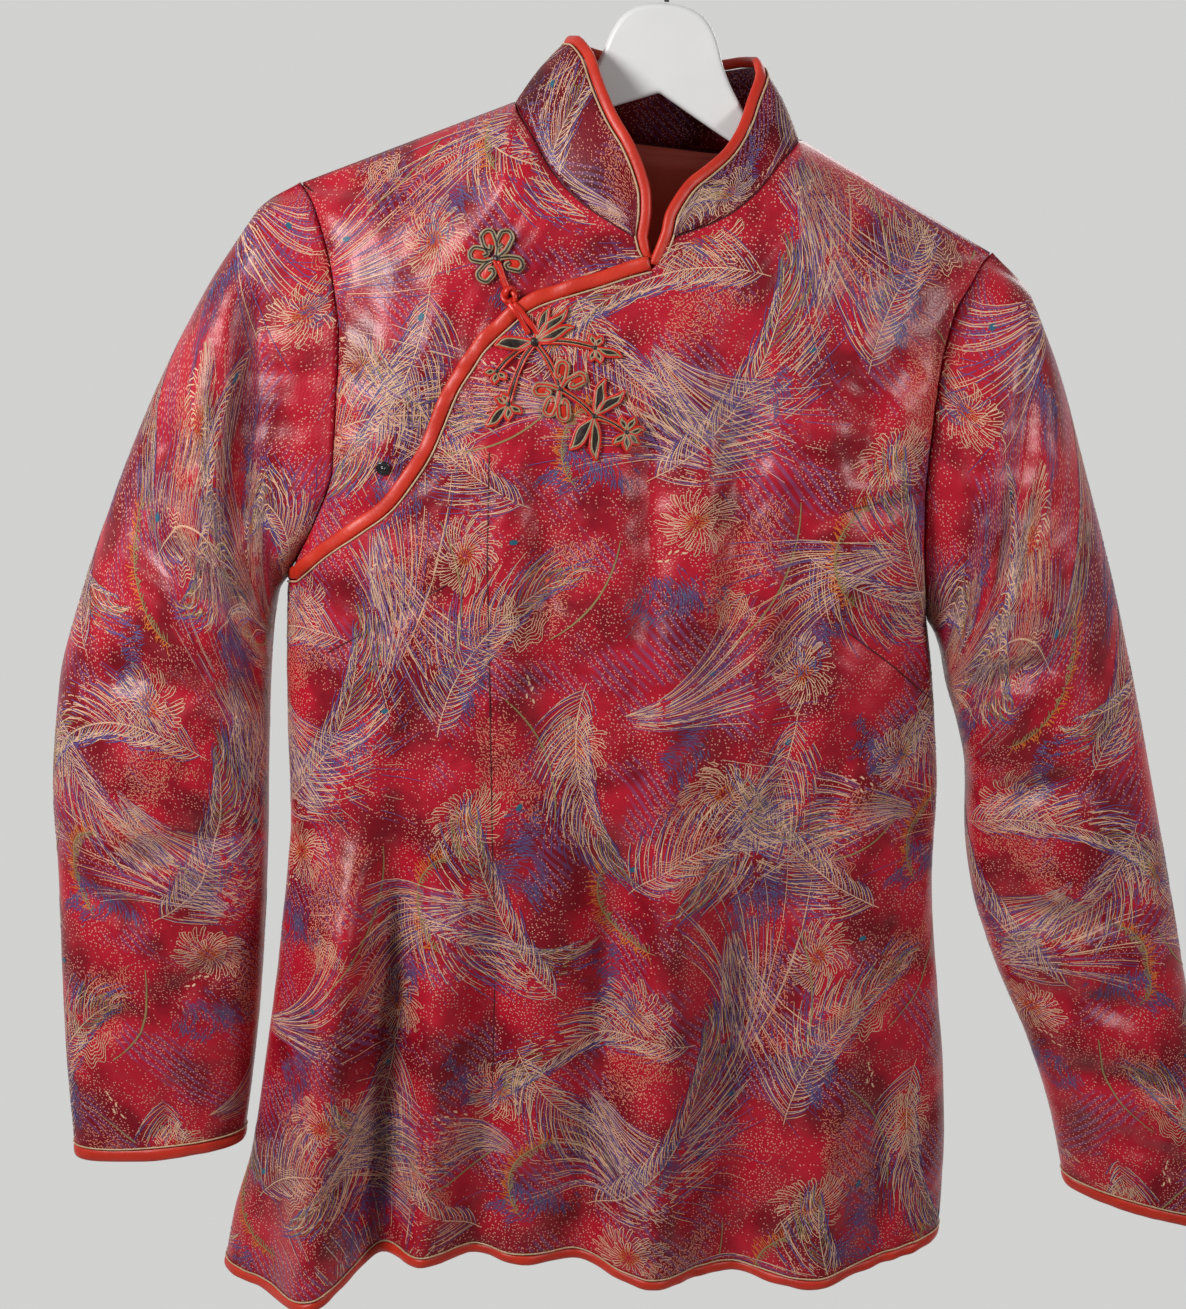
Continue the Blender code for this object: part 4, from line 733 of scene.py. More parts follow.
def smooth(knots, values, at):
    """Smooth curve through table values, with no overshoot; knots rise."""
    knots = np.asarray(knots, float)
    values = np.asarray(values, float)
    steps = np.diff(values) / np.diff(knots)
    before, after = steps[:-1], steps[1:]
    total = np.where(before * after > 0, before + after, 1.0)
    inner = np.where(before * after > 0, 2 * before * after / total, 0.0)
    slopes = np.concatenate(([steps[0]], inner, [steps[-1]]))
    at = np.clip(at, knots[0], knots[-1])
    index = np.clip(np.searchsorted(knots, at) - 1, 0, len(knots) - 2)
    span = knots[index + 1] - knots[index]
    part = (at - knots[index]) / span
    rest = 1 - part
    start = values[index] * (1 + 2 * part) * rest ** 2 + slopes[index] * span * part * rest ** 2
    end = values[index + 1] * part ** 2 * (3 - 2 * part) - slopes[index + 1] * span * part ** 2 * rest
    return start + end


def run_length(points):
    """Length along a path up to each of its points."""
    return np.concatenate(([0.0], np.cumsum(np.linalg.norm(np.diff(points, axis=0), axis=1))))


def round_turns(count):
    """Angles evenly round a circle."""
    return np.linspace(0.0, 2 * math.pi, count, endpoint=False)


def column(table, number):
    return np.array([row[number] for row in table])


def read_table(table, number, at):
    return smooth(column(table, 0), column(table, number), at)


def soft_step(value):
    value = np.clip(value, 0.0, 1.0)
    return value * value * (3 - 2 * value)


def unit(vectors):
    return vectors / np.linalg.norm(vectors, axis=-1, keepdims=True)


def direction(path, closed=False):
    """Unit directions along a path."""
    if closed:
        return unit(np.roll(path, -1, axis=0) - np.roll(path, 1, axis=0))
    return unit(np.gradient(path, axis=0))


def seam_share(y):
    """Share of a direction's depth that stays near a seam, from 0 on it to 1."""
    return np.clip(np.abs(y) / SEAM_BLEND, 0.0, 1.0)


def shoulder_start(sign):
    """Neck end of a shoulder seam: x and height."""
    x = sign * NECK_SIDE
    return x, NECK_LOOP[NECK_SIDE_ROW][2] + NECK_TILT * x


def neck_point(degrees, sign):
    """Point on the neckline seam at an angle from the centre front, sign -1 or 1 for its side."""
    x = sign * NECK_SIDE * np.sin(np.radians(degrees))
    y = read_table(NECK_LOOP, 1, degrees)
    z = read_table(NECK_LOOP, 2, degrees) + NECK_TILT * x
    return x, y, z


def top_line(side, x):
    """Height and y of the shoulder seam or neckline above x."""
    x = np.asarray(x, float)
    lean = np.degrees(np.arcsin(np.clip(np.abs(x) / NECK_SIDE, 0.0, 1.0)))
    degrees = lean if side < 0 else 180.0 - lean
    neck_y = read_table(NECK_LOOP, 1, degrees)
    neck_z = read_table(NECK_LOOP, 2, degrees) + NECK_TILT * x
    sign = np.where(x < 0, -1, 1)
    tip_x = np.where(x < 0, SHOULDER_TIPS[-1][0], SHOULDER_TIPS[1][0])
    tip_z = np.where(x < 0, SHOULDER_TIPS[-1][1], SHOULDER_TIPS[1][1])
    start_x, start_z = shoulder_start(sign)
    along = (x - start_x) / (tip_x - start_x)
    outside = np.abs(x) > NECK_SIDE
    return (np.where(outside, start_z + along * (tip_z - start_z), neck_z),
            np.where(outside, 0.0, neck_y))


def fold_push(table, side, x, z):
    """Depth of the soft folds at x and z, positive into the body."""
    total = np.zeros_like(x)
    for where, x0, z0, x1, z1, half_width, depth in table:
        if where != side:
            continue
        down = np.clip((z0 - z) / (z0 - z1), *FOLD_REACH)
        line_x = x0 + (x1 - x0) * down
        runs_out = z1 < HEM_FOLDS
        fade = soft_step((z0 - z) / FOLD_FADE + 0.5) * soft_step((z - z1) / FOLD_FADE + 0.5 + runs_out)
        total = total + depth * fade * np.exp(-((x - line_x) / half_width) ** 2)
    return total


def opening_height(x):
    return read_table(OPENING, 1, x)


def opening_distance(x, z):
    """Signed distance above the opening's centre line, along its slope."""
    slope = (opening_height(x + SLOPE_REACH) - opening_height(x - SLOPE_REACH)) / (2 * SLOPE_REACH)
    return (z - opening_height(x)) / np.sqrt(1 + slope ** 2)


def underlap_recess(x, z):
    """How far the underlap lies behind the front near the slanted edge."""
    return UNDERLAP_DROP * (1 - soft_step((opening_distance(x, z) - RECESS_START) / RECESS_FADE))


def body_point(side, turn, z, tucked=False):
    """Point on the outer cloth; side -1 is the front, 1 the back; turn is -90 to 90 degrees across."""
    turn = np.asarray(turn, float)
    z = np.asarray(z, float)
    left = read_table(LEFT_EDGE, 1, z)
    right = read_table(RIGHT_EDGE, 1, z)
    across = np.sin(np.radians(turn))
    x = (left + right) / 2 + (right - left) / 2 * across
    number = 2 if side < 0 else 3
    left_y = read_table(LEFT_EDGE, number, z)
    right_y = read_table(RIGHT_EDGE, number, z)
    edge_y = left_y * (1 - across) / 2 + right_y * (1 + across) / 2
    middle_y = read_table(MIDDLE, 1 if side < 0 else 2, z)
    swell = np.sqrt(np.maximum(1 - np.abs(across) ** ROUND_POWER, 0.0))
    top_z, top_y = top_line(side, x)
    beside = soft_step((np.abs(x) - NECK_BLEND) / NECK_BLEND)
    length = NECK_FALL + (SHOULDER_FALL - NECK_FALL) * beside
    drop = np.clip((top_z - z) / length, 0.0, 1.0)
    fall = (drop * (2 - drop)) ** FALL_POWER
    y = edge_y + (middle_y - edge_y) * swell
    y = top_y + (y - top_y) * fall + edge_y * (1 - fall) * (np.abs(x) > NECK_SIDE)
    y = y - side * fold_push(FOLDS, side, x, z) * swell * fall
    if tucked:
        y = y + underlap_recess(x, z)
    return np.stack((x, y + side * HALF_SEAM, z), axis=-1)


def outward_of(surface, side, turn, z, tucked):
    """Outward direction of a surface, which is given as a function of side, turn and height."""
    low = np.clip(turn - TURN_STEP, -90, 90)
    high = np.clip(turn + TURN_STEP, -90, 90)
    across = surface(side, high, z, tucked) - surface(side, low, z, tucked)
    up = surface(side, turn, z, tucked) - surface(side, turn, z - STEP, tucked)
    return unit(-side * np.cross(across, up))


def body_normal(side, turn, z, tucked=False):
    """Outward direction of the cloth without its creases."""
    return outward_of(body_point, side, turn, z, tucked)


def turn_of(x, z):
    """Angle across the body for a point given by x and height."""
    left = read_table(LEFT_EDGE, 1, z)
    right = read_table(RIGHT_EDGE, 1, z)
    return np.degrees(np.arcsin(np.clip((2 * x - left - right) / (right - left), -1.0, 1.0)))


def flatten_at_seams(normals, points):
    """At side and shoulder seams the wall's rim stands square to the seam line."""
    edge = np.zeros(points.shape[:2], bool)
    edge[:, 0] = True
    edge[:, -1] = True
    edge[-1, :] = True
    kept = normals[..., 1] * seam_share(points[..., 1])
    normals[..., 1] = np.where(edge, kept, normals[..., 1])
    return unit(normals)


def shoulder_points(sign, count):
    """Shoulder seam points from the neck side to the tip."""
    tip_x, tip_z = SHOULDER_TIPS[sign]
    start_x, start_z = shoulder_start(sign)
    part = np.sin(np.linspace(0.0, math.pi / 2, count + 1))
    return start_x + (tip_x - start_x) * part, start_z + (tip_z - start_z) * part


def as_turns(x, z):
    return turn_of(x, z), z


def hem_edge(side, turns):
    """Hem as (turn, height); a few passes settle the height at each x."""
    z = np.full_like(turns, HEM_START)
    for _ in range(HEM_PASSES):
        x = body_point(side, turns, z)[..., 0]
        z = read_table(HEM, 1 if side < 0 else 2, x) + HEM_BINDING
    return turns, z


def edge_outward(path, normals, toward):
    """Directions along the cloth, square to an edge path, on the side given by toward."""
    outward = unit(np.cross(direction(path), normals))
    sign = np.sign(np.sum(outward * toward, axis=-1, keepdims=True))
    outward = outward * sign
    keep = np.ones(len(path))
    keep[[0, -1]] = seam_share(path[[0, -1], 1])
    outward[:, 1] = outward[:, 1] * keep
    return unit(outward)


def opening_edge(offset, x):
    """Points beside the opening's centre line, offset up and to the left of it."""
    z = opening_height(x)
    slope = (opening_height(x + EDGE_REACH) - opening_height(x - EDGE_REACH)) / (2 * EDGE_REACH)
    slope = np.clip(slope, *EDGE_SLOPES)
    length = np.sqrt(1 + slope ** 2)
    return x - offset * slope / length, z + offset / length


def armhole_loop(sign, around):
    """Armhole points and body normals: tip, front, underarm, back."""
    table = LEFT_EDGE if sign < 0 else RIGHT_EDGE
    tip_z = SHOULDER_TIPS[sign][1]
    pit_z = table[PIT_ROW][0]
    half = around // 2
    z = tip_z + (pit_z - tip_z) * np.linspace(0.0, 1.0, ARMHOLE_FINE)
    loops = []
    for side in (-1, 1):
        length = run_length(body_point(side, np.full_like(z, 90.0 * sign), z))
        even = np.interp(np.linspace(0.0, length[-1], half + 1), length, z)
        turn = np.full_like(even, 90.0 * sign)
        points = body_point(side, turn, even)
        normals = body_normal(side, turn, even)
        normals[..., 1] = normals[..., 1] * seam_share(points[..., 1])
        loops.append((points, unit(normals)))
    front, back = loops
    points = np.concatenate((front[0], back[0][1:-1][::-1]))
    normals = np.concatenate((front[1], back[1][1:-1][::-1]))
    points[0, 1] = 0.0
    points[half, 1] = 0.0
    return points, normals


def sleeve_ring(row, around):
    """Flattened ring between the outer and inner lines of a sleeve station."""
    outer_x, outer_z, inner_x, inner_z, front, back = row
    angle = round_turns(around)
    part = (1 + np.cos(angle)) / 2
    facing = np.abs(np.sin(angle))
    depth = np.where(np.sin(angle) >= 0, -front, back) * facing ** SLEEVE_SQUARE
    x = inner_x + (outer_x - inner_x) * part
    z = inner_z + (outer_z - inner_z) * part
    y = depth + fold_push(SLEEVE_FOLDS, -1, x, z) * (depth < 0) * facing
    y = y - fold_push(SLEEVE_FOLDS, 1, x, z) * (depth > 0) * facing
    return np.stack((x, y, z), axis=-1)


def collar_side(table, sign, count):
    """Base and edge points of one half of the collar, from the centre front to the back."""
    place = np.linspace(0.0, 1.0, count + 1) ** COLLAR_EASE * (len(table) - 1)
    rows = np.arange(len(table))
    degrees, x, y, z = (smooth(rows, column(table, number), place) for number in range(4))
    base_x, base_y, base_z = neck_point(degrees, sign)
    if sign < 0:
        base_y = base_y + underlap_recess(base_x, base_z) * (degrees < 90)
    return np.stack((base_x, base_y, base_z), axis=-1), np.stack((x, y, z), axis=-1)


def neck_normals(base):
    """Directions out of the body cloth along the neckline."""
    turns = turn_of(base[:, 0], base[:, 2])
    front = body_normal(-1, turns, base[:, 2])
    back = body_normal(1, turns, base[:, 2])
    normals = np.where(base[:, 1:2] < 0, front, back)
    normals[:, 1] = normals[:, 1] * seam_share(base[:, 1])
    return unit(normals)


def hanger_side(sign):
    """Outline of one half of the hanger; its arm follows the shoulder line above it."""
    tip_x, tip_z = SHOULDER_TIPS[sign]
    start_x, start_z = shoulder_start(sign)
    slope = (tip_z - start_z) / (tip_x - start_x)
    head = [(sign * x, z) for x, z in HANGER_HEAD]
    arm = [(sign * x, start_z + slope * (sign * x - start_x) - drop) for x, drop in HANGER_ARM]
    return head + arm


def crease_push(table, side, x, z):
    """Depth of the creases at x and height, positive into the cloth."""
    total = np.zeros_like(x)
    for where, x0, z0, x1, z1, half_width, depth in table:
        if where != side:
            continue
        run_x, run_z = x1 - x0, z1 - z0
        length = math.hypot(run_x, run_z)
        along = ((x - x0) * run_x + (z - z0) * run_z) / length ** 2
        off = ((x - x0) * run_z - (z - z0) * run_x) / length
        fade = soft_step((along + 0.1) / CREASE_FADE) * soft_step((1.1 - along) / CREASE_FADE)
        total = total + depth * fade * np.exp(-(off / half_width) ** 2)
    return total


def wadding(x, z):
    """Low uneven swell of the padding, from a few crossed waves."""
    total = np.zeros_like(x)
    for length, height in WADDING:
        first = np.sin(2 * math.pi * (x * 0.90 + z * 0.35) / length + 5.1 * np.sin(z / length))
        second = np.sin(2 * math.pi * (z * 0.80 - x * 0.45) / length + 4.3 * np.sin(x / length))
        total = total + height * first * second
    return total


def cloth_point(side, turn, z, tucked=False):
    """Point on the outer face of the body cloth with its creases."""
    points = body_point(side, turn, z, tucked)
    x = points[..., 0]
    edge = np.cos(np.radians(turn)) * 0.2
    top_z, _ = top_line(side, x)
    calm = soft_step(edge / EDGE_CALM) * soft_step((top_z - z) / EDGE_CALM)
    creases = CREASE_DEPTH * crease_push(CREASES, side, x, z)
    push = creases + FOLD_EXTRA * fold_push(FOLDS, side, x, z) + wadding(x, z)
    points[..., 1] = points[..., 1] - side * push * calm
    return points


def cloth_normal(side, turn, z, tucked=False):
    """Outward direction of the cloth with its creases."""
    return outward_of(cloth_point, side, turn, z, tucked)


def respaced(turn, z, count):
    """An edge given as (turn, height), spaced evenly along its length."""
    length = run_length(np.stack((turn * DEGREE_LENGTH, z), axis=-1))
    even = np.linspace(0.0, length[-1], count)
    return np.interp(even, length, turn), np.interp(even, length, z)


def ruled(bottom, top, up, columns):
    """Turns and heights of a grid ruled from its bottom edge to its top edge, with rows at the shares up."""
    bottom_turn, bottom_z = respaced(bottom[0], bottom[1], columns)
    top_turn, top_z = respaced(top[0], top[1], columns)
    turn = bottom_turn + (top_turn - bottom_turn) * up[:, None]
    z = bottom_z + (top_z - bottom_z) * up[:, None]
    return turn, z


def cloth_grid(side, bottom, top, rows, columns, tucked=False):
    """Points and normals of a dense panel ruled from its bottom edge to its top edge."""
    up = 1 - (1 - np.linspace(0.0, 1.0, rows)) ** ROW_EASE
    turn, z = ruled(bottom, top, up, columns)
    points = cloth_point(side, turn, z, tucked)
    return points, flatten_at_seams(cloth_normal(side, turn, z, tucked), points)


def link_item(name, data):
    """Scene object made from a mesh, light, curve or camera."""
    item = bpy.data.objects.new(name, data)
    bpy.context.scene.collection.objects.link(item)
    return item


def make_object(name, points, faces, materials):
    """Smooth mesh object made from points and faces of any size."""
    mesh = bpy.data.meshes.new(name)
    mesh.from_pydata(points.reshape(-1, 3).tolist(), [], faces)
    mesh.update()
    mesh.polygons.foreach_set("use_smooth", np.ones(len(mesh.polygons), bool))
    for material in materials:
        mesh.materials.append(material)
    return link_item(name, mesh)


def grid_faces(rows, columns, start, closed=False):
    """Quads of a grid of points numbered row by row, as an array."""
    row = np.arange(rows - 1)[:, None] * columns
    last = columns if closed else columns - 1
    number = np.arange(last)[None, :]
    after = (number + 1) % columns
    quads = np.stack((row + number, row + after, row + columns + after, row + columns + number), axis=-1)
    return start + quads.reshape(-1, 4)


def tube_faces(rows, around, closed=False):
    """Faces of a tube, joined end to end when closed and capped when not."""
    faces = grid_faces(rows, around, 0, True).tolist()
    last = (rows - 1) * around
    if closed:
        faces += [(last + n, last + (n + 1) % around, (n + 1) % around, n) for n in range(around)]
    else:
        faces += [tuple(range(around))[::-1], tuple(range(last, last + around))]
    return faces


def rim_faces(outer_line, inner_line, step):
    """Faces that join a fine outer edge to a coarse inner edge, one for each coarse cell."""
    faces = []
    for number in range(len(inner_line) - 1):
        fine = list(outer_line[number * step:(number + 1) * step + 1])
        faces.append(fine[::-1] + [inner_line[number], inner_line[number + 1]])
    return faces


def make_shell(name, outer, inner, materials, closed=False, flip=False):
    """Closed thin shell: a fine outer grid and an inner grid with fewer cells."""
    rows, columns = outer.shape[:2]
    coarse = inner[::INNER_STEP, ::INNER_STEP]
    inner_rows, inner_columns = coarse.shape[:2]
    start = rows * columns
    faces = grid_faces(rows, columns, 0, closed).tolist()
    outer_count = len(faces)
    faces += grid_faces(inner_rows, inner_columns, start, closed)[:, ::-1].tolist()
    outer_ids = np.arange(start).reshape(rows, columns)
    inner_ids = start + np.arange(inner_rows * inner_columns).reshape(inner_rows, inner_columns)
    if closed:
        outer_ids = np.concatenate((outer_ids, outer_ids[:, :1]), axis=1)
        inner_ids = np.concatenate((inner_ids, inner_ids[:, :1]), axis=1)
    rims = rim_faces(outer_ids[0], inner_ids[0], INNER_STEP)
    rims += [face[::-1] for face in rim_faces(outer_ids[-1], inner_ids[-1], INNER_STEP)]
    if not closed:
        rims += [face[::-1] for face in rim_faces(outer_ids[:, 0], inner_ids[:, 0], INNER_STEP)]
        rims += rim_faces(outer_ids[:, -1], inner_ids[:, -1], INNER_STEP)
    faces += rims
    if flip:
        faces = [face[::-1] for face in faces]
    points = np.concatenate((outer.reshape(-1, 3), coarse.reshape(-1, 3)))
    item = make_object(name, points, faces, materials)
    numbers = np.zeros(len(faces), np.int32)
    numbers[outer_count:len(faces) - len(rims)] = 1
    item.data.polygons.foreach_set("material_index", numbers)
    item.data.update()
    return item


def even_count(length, closed=False):
    """Number of grid points along a length, so that the coarse inner grid fits."""
    cells = max(1, round(length / CELL / INNER_STEP)) * INNER_STEP
    return cells if closed else cells + 1


def set_flat(item, flat, turn_length=None):
    """Flat cloth coordinates in metres as the UV map; turn_length closes the map round a tube."""
    mesh = item.data
    count = len(mesh.vertices)
    inner = flat[::INNER_STEP, ::INNER_STEP].reshape(-1, 2)
    values = np.concatenate((flat.reshape(-1, 2), inner))[:count]
    layer = mesh.uv_layers.new(name="Cloth")
    corners = np.zeros(len(mesh.loops), np.int32)
    mesh.loops.foreach_get("vertex_index", corners)
    values = values[corners]
    if turn_length is not None:
        starts = np.zeros(len(mesh.polygons), np.int32)
        mesh.polygons.foreach_get("loop_start", starts)
        sizes = np.diff(np.append(starts, len(corners)))
        highest = np.repeat(np.maximum.reduceat(values[:, 0], starts), sizes)
        split = highest - values[:, 0] > turn_length / 2
        values[:, 0] = values[:, 0] + split * turn_length
    layer.data.foreach_set("uv", values.astype(np.float32).ravel())


def binding_rings(path, outward, normals, width):
    """Rounded cross-sections of a binding that wraps a wall's edge."""
    half = width / 2
    middle = SEAM_GAP + half
    back = -WALL - BINDING_PROUD
    centre = (BINDING_PROUD + back) / 2
    deep = (BINDING_PROUD - back) / 2 + BINDING_SWELL
    angle = round_turns(BINDING_AROUND)
    across = np.sign(np.cos(angle)) * np.abs(np.cos(angle)) ** BINDING_SQUARE
    rise = np.sign(np.sin(angle)) * np.abs(np.sin(angle)) ** BINDING_SQUARE
    out = middle + half * across
    lift = centre + deep * rise
    return path[:, None] + outward[:, None] * out[None, :, None] + normals[:, None] * lift[None, :, None]


def make_binding(name, path, outward, normals, width, materials, closed=False, flip=False):
    """Satin binding along a panel's edge, with slight puckers from its stitches."""
    length = run_length(path)
    pucker = PUCKER_DEPTH * np.sin(2 * math.pi * length / PUCKER_LENGTH + 2 * np.sin(length / PUCKER_DRIFT))
    rings = binding_rings(path + normals * pucker[:, None], outward, normals, width)
    faces = tube_faces(*rings.shape[:2], closed)
    if flip:
        faces = [tuple(face)[::-1] for face in faces]
    return make_object(name, rings, faces, materials)


def round_rings(path, side, up, radius, around):
    """Round cross-sections of a cord along a path."""
    angle = round_turns(around)
    return path[:, None] + radius * (side[:, None] * np.cos(angle)[None, :, None]
                                     + up[:, None] * np.sin(angle)[None, :, None])


def make_cord_line(name, path, normals, radius, materials, closed=False):
    """Thin round cord along a path, seated on the cloth."""
    side = unit(np.cross(direction(path, closed), normals))
    rings = round_rings(path, side, normals, radius, CORD_AROUND)
    return make_object(name, rings, tube_faces(*rings.shape[:2], closed), materials)


def bind_edge(kind, end, path, outward, facing, width, materials, closed=False, flip=False):
    """Satin binding on an edge and the cream line beside it, for the solid named after their kind and end."""
    binding = make_binding(kind + "_piping" + end, path, outward, facing, width, [materials["binding"]],
                           closed, flip)
    attach(binding, kind + "_binding" + end)
    lift, inset = LINE_SEAT
    line = make_cord_line(kind + "_line" + end, path + facing * lift - outward * inset, facing,
                          LINE_RADIUS, [materials["cream line"]], closed)
    attach(line)


def dense_path(points, normals, spacing, closed=False):
    """A path and its normals, spaced evenly."""
    if closed:
        points = np.concatenate((points, points[:1]))
        normals = np.concatenate((normals, normals[:1]))
    length = run_length(points)
    count = max(4, int(length[-1] / spacing))
    even = np.linspace(0.0, length[-1], count + 1)
    if closed:
        even = even[:-1]
    path = np.stack([np.interp(even, length, points[:, axis]) for axis in range(3)], axis=-1)
    facing = np.stack([np.interp(even, length, normals[:, axis]) for axis in range(3)], axis=-1)
    return path, unit(facing)


def flat_of_body(side, turn_grid, z_grid):
    """Flat cloth coordinates of body points: arc length across from the middle, and height."""
    z = np.linspace(CHART_LOW, CHART_HIGH, CHART_ROWS)
    turn = np.linspace(-90.0, 90.0, CHART_COLUMNS)
    turns, heights = np.meshgrid(turn, z)
    points = body_point(side, turns, heights)
    steps = np.linalg.norm(np.diff(points, axis=1), axis=-1)
    length = np.concatenate((np.zeros((CHART_ROWS, 1)), np.cumsum(steps, axis=1)), axis=1)
    middle = np.array([np.interp(0.0, row_x, row) for row_x, row in zip(points[..., 0], length)])
    return bilinear(length - middle[:, None], (z_grid - z[0]) / (z[1] - z[0]),
                    (turn_grid - turn[0]) / (turn[1] - turn[0]))


def bilinear(table, row, column_at):
    """Values between the cells of a table, at fractional rows and columns."""
    row = np.clip(row, 0, table.shape[0] - 1.001)
    column_at = np.clip(column_at, 0, table.shape[1] - 1.001)
    i, j = row.astype(int), column_at.astype(int)
    a, b = row - i, column_at - j
    if table.ndim == 3:
        a, b = a[..., None], b[..., None]
    low = table[i, j] * (1 - b) + table[i, j + 1] * b
    high = table[i + 1, j] * (1 - b) + table[i + 1, j + 1] * b
    return low * (1 - a) + high * a


def front_edges():
    """Bottom and top edges of the main front as turns and heights."""
    stops = np.linspace(0, 1, len(OPENING_STOPS))
    opening_x = np.interp(np.linspace(0, 1, EDGE_POINTS), stops, OPENING_STOPS)
    edge_x, edge_z = opening_edge(-OPENING_BINDING / 2 - SEAM_GAP, opening_x)
    edge_turn, edge_z = as_turns(edge_x, edge_z)
    edge_turn[0] = -90.0
    edge_z[0] = edge_z[0] - FRONT_CORNER_DROP
    degrees = np.linspace(FRONT_NECK_START, 90.0, SEAM_POINTS)[:-1]
    neck_x, _, neck_z = neck_point(degrees, 1)
    shoulder_x, shoulder_z = shoulder_points(1, SEAM_POINTS)
    neck_turn, neck_z = as_turns(neck_x, neck_z)
    shoulder_turn, shoulder_z = as_turns(shoulder_x, shoulder_z)
    shoulder_turn[-1] = 90.0
    top = (np.concatenate((edge_turn, neck_turn, shoulder_turn)),
           np.concatenate((edge_z, neck_z, shoulder_z)))
    return hem_edge(-1, np.linspace(-90.0, 90.0, len(top[0]))), top


def finish_panel(name, side, edges, size, materials, tucked=False, flip=False):
    """A body panel with its flat coordinates; returns its points and normals."""
    columns, rows = even_count(size[0]), even_count(size[1])
    bottom, top = edges
    points, normals = cloth_grid(side, bottom, top, rows, columns, tucked)
    item = make_shell(name + "_cloth", points, points - WALL * normals,
                      [materials["brocade"], materials["inside"]], flip=flip)
    z = points[..., 2]
    flat = np.stack((flat_of_body(side, turn_of(points[..., 0], z), z), z), axis=-1)
    set_flat(item, flat)
    attach(item, name)
    return points, normals


def draw_on_body(name, side, inside, tucked, materials):
    """Brocade lines on one body panel."""
    groups = repeat_over(BROCADE, (CHART_LEFT, CHART_LOW), (CHART_RIGHT, CHART_HIGH))
    make_lines("brocade_lines_" + name, body_chart(side, tucked), groups, inside, materials)


def build_front(materials):
    points, normals = finish_panel("front", -1, front_edges(), FRONT_SIZE, materials)
    draw_on_body("front", -1, in_front, False, materials)
    count = next(n for n in range(len(points[-1])) if points[-1][n, 0] > OPENING_END)
    path, facing = dense_path(points[-1, :count], normals[-1, :count], BINDING_SPACING)
    outward = edge_outward(path, facing, np.array(SLANT_OUTWARD))
    path, facing, outward = (rows[SLANT_SKIP:] for rows in (path, facing, outward))
    bind_edge("opening", "", path, outward, facing, OPENING_BINDING, materials, flip=True)
    bind_hem("_front", points[0], normals[0], materials)


def bind_hem(end, edge, normals, materials, flip=False):
    """Binding and cream line of one hem."""
    path, facing = dense_path(edge, normals, BINDING_SPACING)
    outward = edge_outward(path, facing, np.array(HEM_OUTWARD))
    bind_edge("hem", end, path, outward, facing, HEM_BINDING, materials, flip=flip)


def build_underlap(materials):
    bottom_x, bottom_z = opening_edge(-UNDERLAP_TUCK, np.linspace(*UNDERLAP_ENDS, EDGE_POINTS))
    bottom_turn, bottom_z = as_turns(bottom_x, bottom_z)
    bottom_turn[0] = -90.0
    bottom_z[0] = UNDERLAP_CORNER
    shoulder_x, shoulder_z = shoulder_points(-1, SEAM_POINTS)
    degrees = np.linspace(90.0, UNDERLAP_NECK_END, SEAM_POINTS)[1:]
    neck_x, _, neck_z = neck_point(degrees, -1)
    top_turn, top_z = as_turns(np.concatenate((shoulder_x[::-1], neck_x)),
                               np.concatenate((shoulder_z[::-1], neck_z)))
    top_turn[0] = -90.0
    edges = (bottom_turn, bottom_z), (top_turn, top_z)
    finish_panel("underlap", -1, edges, UNDERLAP_SIZE, materials, tucked=True)
    draw_on_body("underlap", -1, in_underlap, True, materials)


def build_back(materials):
    left_x, left_z = shoulder_points(-1, SEAM_POINTS)
    right_x, right_z = shoulder_points(1, SEAM_POINTS)
    degrees = np.linspace(90.0, 180.0, SEAM_POINTS)
    neck_left = neck_point(degrees[1:], -1)
    neck_right = neck_point(degrees[::-1][1:-1], 1)
    turn, z = as_turns(np.concatenate((left_x[::-1], neck_left[0], neck_right[0], right_x)),
                       np.concatenate((left_z[::-1], neck_left[2], neck_right[2], right_z)))
    turn[0], turn[-1] = -90.0, 90.0
    bottom = hem_edge(1, np.linspace(-90.0, 90.0, len(turn)))
    points, normals = finish_panel("back", 1, (bottom, (turn, z)), BACK_SIZE, materials, flip=True)
    draw_on_body("back", 1, in_back, False, materials)
    bind_hem("_back", points[0], normals[0], materials, flip=True)


